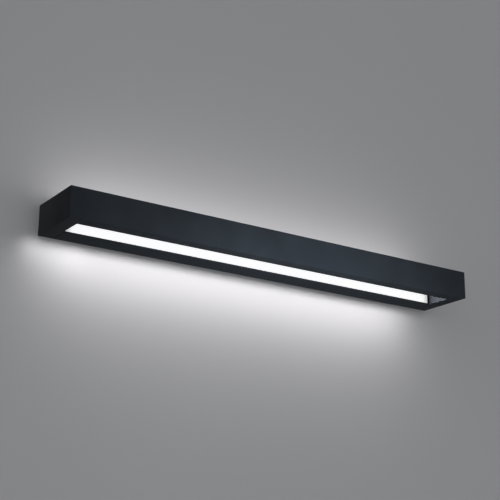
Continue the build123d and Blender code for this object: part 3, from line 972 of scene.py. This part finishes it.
class Workshop:
    """Puts pieces into the scene: each rides on a body, has a slot's finish and stands for a CAD node.

    Attributes:
        weld: how near to each other points are merged.
        flat: the angle up to which faces are taken for one.
        sharp: the angle from which an edge is eased.
        nodes: the CAD nodes by their names.
        materials: the finish of each slot.
    """

    weld = 0.001 * MM
    flat = math.radians(0.5)
    sharp = math.radians(50)

    def __init__(self, frame: dict[str, Any]) -> None:
        """Keep the frame's nodes and build every finish."""
        self.nodes: dict[str, bpy.types.Object] = frame["nodes"]
        self.materials = {finish.slot: finish.material() for finish in FINISHES}

    def box(self, node: str) -> tuple[np.ndarray, np.ndarray]:
        """The lowest and highest corner of a CAD node."""
        low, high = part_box(node)
        return np.array(low), np.array(high)

    def finish(self, piece: bpy.types.Object, node: str, slot: Slot, body: Body) -> None:
        """Dress a piece, set it on its body and let it stand for a CAD node.

        Args:
            piece: the piece.
            node: the CAD node.
            slot: what finish it has.
            body: what it rides on.
        """
        piece.data.materials.append(self.materials[slot])
        bpy.context.scene.collection.objects.link(piece)
        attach(piece, body.value)
        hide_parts(node)
        log.info("%s on %s in %s, %d faces", piece.name, body.value, slot.value, len(piece.data.polygons))

    def add(self, name: str, node: str, surface: Surface, slot: Slot, body: Body = Body.BAR) -> None:
        """Add a closed surface, in place, as the piece that stands for a CAD node."""
        self.finish(bpy.data.objects.new(name, surface.mesh(name)), node, slot, body)

    def soften(self, node: str, slot: Slot, edge: float, body: Body = Body.BAR) -> None:
        """Stand a copy in for a CAD node, with its triangles merged and its sharp edges eased.

        Args:
            node: the CAD node.
            slot: what finish it has.
            edge: width of the eased edges.
            body: what it rides on.
        """
        name = f"{node}_eased"
        mesh = bpy.data.meshes.new(name)
        shape = bmesh.new()
        shape.from_mesh(self.nodes[node].data)
        bmesh.ops.remove_doubles(shape, verts=shape.verts, dist=self.weld)
        bmesh.ops.dissolve_limit(shape, angle_limit=self.flat, verts=shape.verts, edges=shape.edges)
        shape.to_mesh(mesh)
        shape.free()
        if "custom_normal" in mesh.attributes:
            mesh.attributes.remove(mesh.attributes["custom_normal"])
        smooth_mesh(mesh)
        piece = bpy.data.objects.new(name, mesh)
        bevel = piece.modifiers.new("eased edges", "BEVEL")
        bevel.limit_method = "ANGLE"
        bevel.angle_limit = self.sharp
        bevel.width = edge
        bevel.segments = 2
        bevel.use_clamp_overlap = False
        bevel.harden_normals = True
        self.finish(piece, node, slot, body)

    def dress(self, node: str, slot: Slot) -> None:
        """Give a CAD node that stays its finish.

        Args:
            node: the CAD node.
            slot: what finish it has.
        """
        materials = self.nodes[node].data.materials
        materials.clear()
        materials.append(self.materials[slot])
        log.info("%s keeps its mesh, in %s", node, slot.value)


# Sub-assemblies


@dataclass
class Assembly:
    """A sub-assembly of the light bar.

    Attributes:
        shop: the workshop that puts its pieces into the scene.
    """

    shop: Workshop


@dataclass
class FrameShell(Assembly):
    """The front bar and the end bars: square tubes with softly rounded edges, mitred at the front corners.

    Attributes:
        wall: thickness of the tube.
        edge: radius of its outer edges.
        bore_edge: radius inside its corners.
        seam: width of the bevel at each cut, which shows as a hairline at the mitres.
    """

    wall: float = 1.6 * MM
    edge: float = 0.5 * MM
    bore_edge: float = 0.4 * MM
    seam: float = 0.14 * MM

    def tube(
        self,
        low: np.ndarray,
        high: np.ndarray,
        start: Callable[[np.ndarray], np.ndarray],
        end: Callable[[np.ndarray], np.ndarray],
    ) -> np.ndarray:
        """Rings of a tube: out along its outside and back through its bore.

        Args:
            low: lowest across and up of the section.
            high: highest across and up of the section.
            start: where the tube starts, for a place across it.
            end: where the tube ends, for a place across it.

        Returns:
            Rings of points (along, across, up), of shape (rings, points of a ring, 3).
        """
        outside = rounded(rectangle(low, high), self.edge)
        cut = rounded(rectangle(low, high, self.seam), self.edge - self.seam)
        bore = rounded(rectangle(low, high, self.wall), self.bore_edge)
        stations = (
            (cut, start(cut[:, 0])),
            (outside, start(outside[:, 0]) + self.seam),
            (outside, end(outside[:, 0]) - self.seam),
            (cut, end(cut[:, 0])),
            (bore, end(bore[:, 0])),
            (bore, start(bore[:, 0])),
        )
        return np.array([np.column_stack([along, outline]) for outline, along in stations])

    def build(self) -> None:
        """Add the three tubes, whose mitred ends draw in by as much as they lie behind the front."""
        low, high = self.shop.box("front_bar")
        half_length, front = high[0], low[1]
        rings = self.tube(
            low[1:], high[1:], lambda y: y - front - half_length, lambda y: half_length - (y - front)
        )
        self.shop.add("front_bar_tube", "front_bar", looped_skin(rings), Slot.COAT)
        for side in SIDES:
            node = f"{side}_end_bar"
            low, high = self.shop.box(node)
            wall_y = high[1]
            rings = self.tube(
                low[::2],
                high[::2],
                lambda x: front + half_length - np.abs(x),
                lambda x: np.full_like(x, wall_y),
            )
            self.shop.add(f"{node}_tube", node, looped_skin(rings[..., [1, 0, 2]]), Slot.COAT)


@dataclass
class SpineGroup(Assembly):
    """The rear spine with its end plates, and the keys and inserts inside the tubes.

    Attributes:
        spine_edge: width of the spine's eased edges.
        plate_edge: width of the end plates' eased edges.
        block_edge: width of the eased edges of the sawn blocks.
    """

    spine_edge: float = 0.15 * MM
    plate_edge: float = 0.12 * MM
    block_edge: float = 0.3 * MM

    def build(self) -> None:
        """Add the eased copies."""
        self.shop.soften("rear_spine", Slot.COAT, self.spine_edge)
        for side in SIDES:
            self.shop.soften(f"{side}_end_plate", Slot.COAT, self.plate_edge)
            self.shop.soften(f"{side}_corner_key", Slot.ALUMINIUM, self.block_edge)
            self.shop.soften(f"{side}_end_insert", Slot.ALUMINIUM, self.block_edge)


@dataclass
class LightEngine(Assembly):
    """The diffuser and what is sealed behind it.

    Attributes:
        face: thickness of the diffuser's face.
        leg: thickness of its legs.
        rib: how far the legs stand in from the face's edge.
        barb: depth of the barbs.
        barb_lip: how far the barbs stand out over the legs.
        face_radius: radius of the face's long edges.
        inner_radius: radius of its other edges.
        chip_radius: radius of a chip's upright corners.
        chip_levels: a chip's section from its back to the floor of its cup: the way to the front, as a share
            of half its depth, and the way in from its side.
        seal_edge: width of the seals' eased edges.
        plug_edge: width of the eased edges of the link and the connector.
    """

    face: float = 2.0 * MM
    leg: float = 1.4 * MM
    rib: float = 0.8 * MM
    barb: float = 1.2 * MM
    barb_lip: float = 0.65 * MM
    face_radius: float = 0.4 * MM
    inner_radius: float = 0.12 * MM
    chip_radius: float = 0.2 * MM
    chip_levels: tuple[Pair, ...] = (
        (-1.0, 0.0), (0.8, 0.0), (1.0, 0.12 * MM), (1.0, 0.4 * MM), (0.7, 0.5 * MM),
    )
    seal_edge: float = 0.2 * MM
    plug_edge: float = 0.15 * MM

    def lens(self) -> None:
        """Add the diffuser: a section of Y and Z, a channel with barbed legs, carried along X."""
        low, high = self.shop.box("diffuser")
        front, back, top = low[1], high[1], high[2]
        leg_top = top - self.rib
        upper = np.array([
            (front, top),
            (front + self.face, top),
            (front + self.face, leg_top),
            (back - self.barb, leg_top),
            (back - self.barb, leg_top + self.barb_lip),
            (back, leg_top),
            (back, leg_top - self.leg),
            (front + self.face, leg_top - self.leg),
        ])
        corners = np.concatenate([upper, upper[::-1] * (1, -1)])
        radius = np.full(len(corners), self.inner_radius)
        radius[[0, -1]] = self.face_radius
        outline = rounded(corners, radius, steps=4)
        rings = np.array([np.insert(outline, 0, x, axis=1) for x in (low[0], high[0])])
        self.shop.add("diffuser_lens", "diffuser", skin(rings), Slot.OPAL)

    def chips(self) -> None:
        """Add the chips: each a rounded block with a shallow cup of phosphor, where the CAD has one."""
        boxes = solid_boxes(self.shop.nodes["led_chips"])
        half = (boxes[0, 1] - boxes[0, 0]) / 2
        levels = [(-ahead * half[1], inset) for ahead, inset in self.chip_levels]
        chip = moulded(-half[::2], half[::2], levels, self.chip_radius, least=self.chip_radius, steps=1)
        self.shop.add("led_chip_rows", "led_chips", chip.repeated(boxes.mean(axis=1)), Slot.PHOSPHOR)

    def build(self) -> None:
        """Add the diffuser, its seals, the boards and their pieces."""
        self.lens()
        self.chips()
        for side in SIDES:
            self.shop.soften(f"{side}_lens_seal", Slot.RUBBER, self.seal_edge)
            self.shop.dress(f"{side}_led_board", Slot.BOARD)
        self.shop.dress("reflector_strips", Slot.FILM)
        for node in ("board_link", "board_connector"):
            self.shop.soften(node, Slot.MOULDING, self.plug_edge)


@dataclass(frozen=True)
class Lead:
    """An insulated lead that keeps one height, with two runs along X and a bend between them.

    Attributes:
        node: the CAD node that it stands for.
        slot: what finish it has.
        radius: its radius.
        inset: how far its middle lies inside the CAD node's box.
        bend: the X where it leaves its first run and where it joins its second.
        to_wall: whether its second run is the one nearer the wall.
        end: the X where it ends, if that isn't the end of the box.
        sides: how many points go round it.
    """

    node: str
    slot: Slot
    radius: float
    inset: float
    bend: Pair
    to_wall: bool = False
    end: float | None = None
    sides: int = 20

    def surface(self, low: np.ndarray, high: np.ndarray) -> Surface:
        """A circle carried along the route, square to it.

        A point is the route's point + radius * (cos t * across + sin t * up), where across is the route's
        direction turned a quarter about the upright.

        Args:
            low: the lowest corner of the CAD node.
            high: the highest corner of the CAD node.

        Returns:
            The lead's surface.
        """
        runs = (low[1] + self.inset, high[1] - self.inset)
        first, second = runs if self.to_wall else runs[::-1]
        (leave, join), z = self.bend, (low[2] + high[2]) / 2
        end = high[0] if self.end is None else self.end
        line = spline_points([(low[0], first, z), (leave, first, z), (join, second, z), (end, second, z)])
        along = np.gradient(line, axis=0)
        along /= np.linalg.norm(along, axis=1, keepdims=True)
        up = np.array([0.0, 0.0, 1.0])
        across = np.cross(along, up)[:, None, :]
        turn = full_turn(self.sides)[None, :, None]
        return skin(line[:, None, :] + self.radius * (np.cos(turn) * across + np.sin(turn) * up))


@dataclass
class PowerPack(Assembly):
    """The driver, the terminal block, the leads and the ground lug in the wiring channel.

    Attributes:
        moulding_edge: width of the mouldings' eased edges.
        lug_edge: width of the lug's eased edges.
        lid_radius: radius of the lid's upright corners.
        least_radius: the least radius of those corners, where they are drawn in.
        lid_roll: the lid's rounded edge: how far up and how far in, as shares of its height.
        panel_inset: how far the lid's sunk panel lies in from its edge.
        panel_depth: how deep the panel is sunk.
        lip: thickness of the grommet's two flanges.
        waist_depth: how far its waist lies inside the flanges.
        bore_depth: how far its bore lies inside the flanges.
        grommet_edge: radius of its edges.
        grommet_sides: how many points go round it.
        leads: the leads.
    """

    moulding_edge: float = 0.35 * MM
    lug_edge: float = 0.12 * MM
    lid_radius: float = 1.6 * MM
    least_radius: float = 0.3 * MM
    lid_roll: tuple[Pair, ...] = ((0.0, 0.0), (0.35, 0.0), (0.72, 0.12), (0.93, 0.38), (1.0, 0.8))
    panel_inset: float = 3.0 * MM
    panel_depth: float = 0.3 * MM
    lip: float = 1.2 * MM
    waist_depth: float = 1.35 * MM
    bore_depth: float = 2.6 * MM
    grommet_edge: float = 0.35 * MM
    grommet_sides: int = 48
    leads: tuple[Lead, ...] = (
        Lead("line_lead", Slot.BLACK_LEAD, 1.15 * MM, 1.0 * MM, (96.4 * MM, 142.4 * MM), to_wall=True),
        Lead("neutral_lead", Slot.WHITE_LEAD, 1.15 * MM, 1.0 * MM, (96.4 * MM, 142.4 * MM), to_wall=True),
        Lead("ground_lead", Slot.GREEN_LEAD, 1.0 * MM, 1.0 * MM, (80 * MM, 86 * MM)),
        Lead("led_positive_lead", Slot.RED_LEAD, 0.8 * MM, 0.8 * MM, (310 * MM, 310 * MM), end=301 * MM),
        Lead("led_negative_lead", Slot.BLACK_LEAD, 0.8 * MM, 0.8 * MM, (310 * MM, 310 * MM), end=301 * MM),
    )

    def lid(self) -> None:
        """Add the driver's lid: rounded over its edge, with a bare sunk panel."""
        low, high = self.shop.box("driver_lid")
        seam, top = low[1], high[1]
        rise = top - seam
        levels = [(seam + up * rise, inward * rise) for up, inward in self.lid_roll]
        levels.append((top, self.panel_inset))
        levels.append((top - self.panel_depth, self.panel_inset + self.panel_depth))
        surface = moulded(low[::2], high[::2], levels, self.lid_radius, self.least_radius)
        self.shop.add("driver_lid_moulding", "driver_lid", surface, Slot.DRIVER)

    def grommet(self) -> None:
        """Add the grommet: a waisted section of radius and depth carried round Y."""
        low, high = self.shop.box("lead_grommet")
        flange, half = (high[0] - low[0]) / 2, (high[1] - low[1]) / 2
        waist, bore, inner = flange - self.waist_depth, flange - self.bore_depth, half - self.lip
        upper = np.array([(waist, inner), (flange, inner), (flange, half), (bore, half)])
        corners = np.concatenate([upper[::-1] * (1, -1), upper])
        radius, depth = rounded(corners, self.grommet_edge, steps=4).T
        turn = full_turn(self.grommet_sides)[:, None]
        depth = np.broadcast_to(depth, (self.grommet_sides, len(depth)))
        rings = np.stack([radius * np.cos(turn), depth, radius * np.sin(turn)], axis=-1) + (low + high) / 2
        self.shop.add("lead_grommet_ring", "lead_grommet", looped_skin(rings), Slot.RUBBER)

    def build(self) -> None:
        """Add the mouldings, the lug, the grommet and the leads."""
        self.shop.soften("driver_case", Slot.DRIVER, self.moulding_edge)
        self.lid()
        self.shop.soften("terminal_block", Slot.MOULDING, self.moulding_edge)
        self.shop.soften("ground_lug", Slot.TINNED, self.lug_edge)
        self.grommet()
        for lead in self.leads:
            tube = lead.surface(*self.shop.box(lead.node))
            self.shop.add(f"{lead.node}_tube", lead.node, tube, lead.slot)


@dataclass
class WallPlate(Assembly):
    """The wall bracket.

    Attributes:
        edge: width of its eased edges.
    """

    edge: float = 0.2 * MM

    def build(self) -> None:
        """Add the eased copy."""
        self.shop.soften("wall_bracket", Slot.GALVANISED, self.edge, Body.BRACKET)


@dataclass
class Fasteners(Assembly):
    """Every screw.

    Attributes:
        small: the small pan-head screw, as on the boards.
        driver_length: length of its thread on the driver.
        block_length: length of its thread on the terminal block.
        joint: the large pan-head screw of the end joints.
        flush: the countersunk tapping screw of the end plates.
        ground: the hexagon-head screw of the ground lug.
        bracket_length: length of its thread on the bracket.
        locking: the set screw, whose length the CAD gives.
    """

    small: Screw = Screw(1.45 * MM, 3.4 * MM, 2.8 * MM, 1.8 * MM, Head.PAN)
    driver_length: float = 3.0 * MM
    block_length: float = 7.8 * MM
    joint: Screw = Screw(1.95 * MM, 10 * MM, 3.8 * MM, 2.5 * MM, Head.PAN, pitch=0.7 * MM)
    flush: Screw = Screw(1.7 * MM, 12.2 * MM, 3.5 * MM, 2.0 * MM, Head.COUNTERSUNK, pitch=1.1 * MM)
    ground: Screw = Screw(1.95 * MM, 2.6 * MM, 3.8 * MM, 2.5 * MM, Head.HEX_WASHER, pitch=0.7 * MM)
    bracket_length: float = 1.3 * MM
    locking: SetScrew = SetScrew(1.95 * MM, 0.0, 1.95 * MM, 0.0, Head.PAN, pitch=0.7 * MM)

    def group(self, node: str, screw: Screw, facing: Facing, slot: Slot, body: Body = Body.BAR) -> None:
        """Put a screw in each place where a CAD node has one.

        Args:
            node: the CAD node.
            screw: the screw that stands there.
            facing: the way that the heads face.
            slot: what finish the screws have.
            body: what they ride on.
        """
        placed = []
        for low, high in solid_boxes(self.shop.nodes[node]):
            middle = (low + high) / 2
            out = facing.direction(middle)
            top = middle + out * (np.abs(out) @ (high - low)) / 2
            rise = 0.0 if screw.head is Head.COUNTERSUNK else screw.head_height
            placed.append(screw.surface().moved(top - out * rise, frame_of(out)))
        self.shop.add(f"{node}_turned", node, joined(placed), slot, body)

    def build(self) -> None:
        """Add all the groups and the two locking screws."""
        driver = replace(self.small, length=self.driver_length)
        block = replace(self.small, length=self.block_length)
        bracket = replace(self.ground, length=self.bracket_length)
        self.group("board_screws", self.small, Facing.FORWARD, Slot.ZINC)
        self.group("driver_screws", driver, Facing.BACK, Slot.ZINC)
        self.group("block_screws", block, Facing.BACK, Slot.ZINC)
        self.group("joint_screws", self.joint, Facing.INWARD, Slot.ZINC)
        self.group("end_plate_screws", self.flush, Facing.OUTWARD, Slot.ZINC)
        self.group("ground_screw", self.ground, Facing.BACK, Slot.GREEN_DYE)
        self.group("bracket_ground_screw", bracket, Facing.FORWARD, Slot.GREEN_DYE, Body.BRACKET)
        for side, body in zip(SIDES, (Body.LEFT_SCREW, Body.RIGHT_SCREW)):
            node = f"{side}_locking_screw"
            low, high = self.shop.box(node)
            screw = replace(self.locking, length=high[2] - low[2] - self.locking.point)
            place = (*(low + high)[:2] / 2, high[2])
            turned = screw.surface().moved(place, np.eye(3))
            self.shop.add(f"{node}_turned", node, turned, Slot.BLACK_OXIDE, body)


# Stage

STRIP_WHITE: Triple = (1.0, 0.975, 0.98)
BAR_MIDDLE: Triple = (0.0, -0.05, 0.0)


@dataclass(frozen=True)
class Lamp:
    """A soft rectangular lamp.

    Attributes:
        name: the lamp's name.
        place: where it hangs.
        target: the point that it faces.
        size: its width and height.
        power: its power in watts.
        tint: the colour of its light.
        spread: the angle that its light fills, in degrees.
        mirrored: whether glossy surfaces show it.
    """

    name: str
    place: Triple
    target: Triple
    size: Pair
    power: float
    tint: Triple = WHITE
    spread: float = 180.0
    mirrored: bool = True

    def hang(self, lit: bpy.types.Collection | None) -> bpy.types.Object:
        """Put the lamp into the scene.

        Args:
            lit: what it lights or leaves out, or None if it lights everything.

        Returns:
            The lamp.
        """
        light = bpy.data.lights.new(self.name, "AREA")
        light.shape = "RECTANGLE"
        light.size, light.size_y = self.size
        light.energy = self.power
        light.color = self.tint
        light.spread = math.radians(self.spread)
        lamp = bpy.data.objects.new(self.name, light)
        lamp.location = self.place
        lamp.rotation_euler = (Vector(self.target) - Vector(self.place)).to_track_quat("-Z", "Y").to_euler()
        lamp.visible_camera = False
        lamp.visible_glossy = self.mirrored
        lamp.light_linking.receiver_collection = lit
        bpy.context.scene.collection.objects.link(lamp)
        return lamp


def wall_wash(name: str, place: Triple, size: Pair, rise: float, power: float, spread: float) -> Lamp:
    """A lamp inside the frame that faces the wall, sloping up or down by rise in each metre."""
    target = (place[0], place[1] + 1.0, place[2] + rise)
    return Lamp(name, place, target, size, power, STRIP_WHITE, spread, mirrored=False)


def light_group(name: str, pieces: Sequence[str], left_out: bool = False) -> bpy.types.Collection:
    """Collect what a lamp lights, or what it leaves out.

    Args:
        name: the collection's name.
        pieces: the names of the objects.
        left_out: whether they are what the lamp leaves out.

    Returns:
        The collection.
    """
    group = bpy.data.collections.new(name)
    for piece in pieces:
        group.objects.link(bpy.data.objects[piece])
    for entry in group.collection_objects:
        entry.light_linking.link_state = "EXCLUDE" if left_out else "INCLUDE"
    return group


@dataclass(frozen=True)
class PhotoCamera:
    """The camera that took the photograph, found from the frame's corners.

    Attributes:
        place: where it stands.
        yaw: how far it is turned to the right of straight at the wall, in degrees.
        pitch: how far it looks up, in degrees.
        roll: how far it leans to the left, in degrees.
        focal_pixels: its focal length in pixels of the photograph.
        sensor: width of its sensor in millimetres.
        clip: the nearest and the furthest that it sees.
    """

    place: Triple = (-0.9441, -1.4042, -0.5106)
    yaw: float = 33.847
    pitch: float = 17.440
    roll: float = 0.435
    focal_pixels: float = 1184.9
    sensor: float = 36.0
    clip: Pair = (0.05, 200.0)

    def set_up(self) -> None:
        """Make it the scene's camera."""
        data = bpy.data.cameras.new("photo_camera")
        data.sensor_width = self.sensor
        data.lens = self.focal_pixels * self.sensor / PHOTO_SIDE
        data.clip_start, data.clip_end = self.clip
        camera = bpy.data.objects.new("photo_camera", data)
        yaw, pitch, roll = (math.radians(angle) for angle in (self.yaw, self.pitch, self.roll))
        ahead = Vector((math.sin(yaw) * math.cos(pitch), math.cos(yaw) * math.cos(pitch), math.sin(pitch)))
        upright = ahead.to_track_quat("-Z", "Y")
        camera.location = self.place
        camera.rotation_euler = (upright @ Quaternion((0.0, 0.0, 1.0), roll)).to_euler()
        bpy.context.scene.collection.objects.link(camera)
        bpy.context.scene.camera = camera


@dataclass
class Stage:
    """A pale wall behind the bar, a pale floor far below it, and soft light all round.

    Attributes:
        wall_gap: how far the wall lies behind the bracket.
        wall_tone: the wall's colour.
        floor_drop: how far the floor lies below the bar.
        floor_tone: the floor's colour.
        half_wall: half the width and height of the wall.
        half_floor: half the width and depth of the floor.
        paper_patch: the size of a patch of one tone on the wall and the floor.
        paper_dip: the tone of their darkest patches, as a share of their colour.
        wall_reach: from how near the wall is no longer mirrored in the bar's back.
        sky: strength of the even light from all round.
        sky_tint: the colour of that light.
        pale: how much paler the floor and the sky look than they light.
        strip_gap: how far in front of the diffuser its light starts.
        strip_share: how much of the diffuser's length gives that light.
        strip_power: power of the lit strip's own light, in watts.
        end_power: power of what more of it the end bars take.
        washes: the lamps that make the glow on the wall above and below the bar.
        near: small lamps near the frame, which light its coat alone.
        far: large lamps round the object.
    """

    wall_gap: float = 0.6 * MM
    wall_tone: Triple = (0.72, 0.72, 0.735)
    floor_drop: float = 1.9
    floor_tone: Triple = (0.82, 0.82, 0.82)
    half_wall: float = 4.0
    half_floor: float = 60.0
    paper_patch: float = 0.5
    paper_dip: float = 0.97
    wall_reach: float = 60 * MM
    sky: float = 0.32
    sky_tint: Triple = (0.97, 0.985, 1.0)
    pale: float = 0.28
    strip_gap: float = 0.5 * MM
    strip_share: float = 0.9
    strip_power: float = 0.8
    end_power: float = 13.0
    washes: tuple[Lamp, ...] = (
        wall_wash("glow_down", (-0.0165, -0.061, -0.0148), (0.609, 0.0125), -1.0, power=0.262, spread=150),
        wall_wash("glow_up", (-0.006, -0.061, 0.0132), (0.64, 0.02), 1.0, power=0.2, spread=180),
        wall_wash("glow_left", (-0.318, -0.028, -0.0225), (0.085, 0.012), -1.0, power=0.0062, spread=95),
    )
    near: tuple[Lamp, ...] = (
        Lamp("front_soft", (0.03, -0.32, -0.16), (0.03, -0.096, 0.0), (0.34, 0.1), 2.8, (0.76, 0.92, 1.0)),
        Lamp("low_soft", (0.2, -0.15, -0.3), (0.2, -0.03, -0.02), (0.25, 0.1), 0.06, (0.85, 0.95, 1.0)),
    )
    far: tuple[Lamp, ...] = (
        Lamp("side_soft", (-1.5, -0.6, 0.2), (-0.343, -0.05, 0.0), (0.8, 0.8), 5.0),
        Lamp("top_soft", (0.2, -0.9, 2.0), BAR_MIDDLE, (2.2, 1.2), 10.0),
        Lamp("rear_soft", (0.5, 1.7, 1.8), BAR_MIDDLE, (3.2, 2.0), 20.0),
    )

    def plane(self, name: str, corners: Sequence[Triple], material: bpy.types.Material) -> None:
        """Add a flat backdrop that isn't part of the object.

        Args:
            name: its name.
            corners: its four corners, in order.
            material: its material.
        """
        mesh = bpy.data.meshes.new(name)
        mesh.from_pydata(corners, [], [(0, 1, 2, 3)])
        mesh.materials.append(material)
        backdrop = bpy.data.objects.new(name, mesh)
        bpy.context.scene.collection.objects.link(backdrop)

    def paper(self, name: str, tone: Triple) -> ShaderTree:
        """Start the material of a matte backdrop with a barely uneven tone.

        Args:
            name: the material's name.
            tone: its colour.

        Returns:
            The material's nodes.
        """
        tree = ShaderTree(bpy.data.materials.new(name))
        darker = tuple(self.paper_dip * part for part in tone)
        tree.shade(Base_Color=tree.ramp(tree.noise(self.paper_patch), (darker, tone)))
        tree.shade(Roughness=0.9, Specular_IOR_Level=0.1)
        return tree

    def seen(self, tree: ShaderTree) -> Socket:
        """Find the rays that show a background: from the camera, and from glossy or clear surfaces.

        Args:
            tree: the nodes of a backdrop or the world.

        Returns:
            A value that is 1 for such a ray.
        """
        path = tree.add("LightPath")
        seen = path.outputs["Is Camera Ray"]
        for other in ("Is Glossy Ray", "Is Transmission Ray"):
            seen = tree.calc("MAXIMUM", seen, path.outputs[other])
        return seen

    def one_sided(self, tree: ShaderTree) -> None:
        """Show a backdrop only from its front and from some way off, and let soft light through it.

        Args:
            tree: the backdrop's nodes.
        """
        behind = tree.add("NewGeometry").outputs["Backfacing"]
        far = tree.calc("GREATER_THAN", tree.add("LightPath").outputs["Ray Length"], self.wall_reach)
        shown = tree.calc("MULTIPLY", self.seen(tree), tree.calc("SUBTRACT", far, behind))
        mix = tree.add("MixShader", Fac=shown)
        tree.put(tree.add("BsdfTransparent").outputs["BSDF"], mix.inputs[1])
        tree.put(tree.surface.outputs["BSDF"], mix.inputs[2])
        tree.put(mix.outputs["Shader"], tree.output.inputs["Surface"])

    def backdrops(self) -> None:
        """Add the wall and the floor."""
        wall_paper = self.paper("wall_paper", self.wall_tone)
        self.one_sided(wall_paper)
        wall = rectangle((-self.half_wall, -self.half_wall), (self.half_wall, self.half_wall))
        self.plane("wall", np.insert(wall, 1, self.wall_gap, axis=1).tolist(), wall_paper.owner)
        floor_paper = self.paper("floor_paper", self.floor_tone)
        extra = floor_paper.calc("MULTIPLY", self.seen(floor_paper), self.pale)
        floor_paper.shade(Emission_Color=(*WHITE, 1.0), Emission_Strength=extra)
        floor = rectangle((-self.half_floor, -self.half_floor), (self.half_floor, self.half_floor))
        self.plane("floor", np.insert(floor, 2, -self.floor_drop, axis=1).tolist(), floor_paper.owner)

    def glow(self) -> None:
        """Make the strip's light on the frame's inside, and the glow on the wall above and below the bar."""
        low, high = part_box("diffuser")
        front = low[1] - self.strip_gap
        size = (self.strip_share * (high[0] - low[0]), high[2] - low[2])
        place, ahead = (0.0, front, 0.0), (0.0, front - 1.0, 0.0)
        strip = Lamp("strip_light", place, ahead, size, self.strip_power, STRIP_WHITE)
        more = replace(strip, name="strip_ends", power=self.end_power)
        ends = light_group("ends_by_the_strip", [f"{side}_end_bar_tube" for side in SIDES])
        wall = light_group("lit_by_the_bar", ["wall"])
        for lamp, lit in ((strip, None), (more, ends), *((wash, wall) for wash in self.washes)):
            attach(lamp.hang(lit), Body.BAR.value)

    def studio(self) -> None:
        """Hang the lamps round the object, which leave out the wall and the diffuser, and set the sky."""
        left_out = light_group("wall_left_out", ["wall", "diffuser_lens"], left_out=True)
        coat = ["front_bar_tube", "rear_spine_eased", "left_end_bar_tube", "right_end_bar_tube"]
        coated = light_group("coated_frame", coat)
        for lamp in self.near:
            lamp.hang(coated)
        for lamp in self.far:
            lamp.hang(left_out)
        sky = ShaderTree(bpy.data.worlds.new("sky"))
        strength = sky.calc("ADD", sky.calc("MULTIPLY", self.seen(sky), self.pale), self.sky)
        sky.shade(Color=(*self.sky_tint, 1.0), Strength=strength)
        bpy.context.scene.world = sky.owner

    def build(self) -> None:
        """Add the backdrops and the light, and show colours as they are written."""
        self.backdrops()
        self.glow()
        self.studio()
        bpy.context.scene.view_settings.view_transform = "Standard"


def main() -> None:
    """Build the light bar and its stage."""
    logging.basicConfig(level=logging.INFO, format="%(name)s: %(message)s")
    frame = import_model()
    shop = Workshop(frame)
    for assembly in (FrameShell, SpineGroup, LightEngine, PowerPack, WallPlate, Fasteners):
        assembly(shop).build()
    Stage().build()
    PhotoCamera().set_up()


if __name__ == "__main__":
    main()
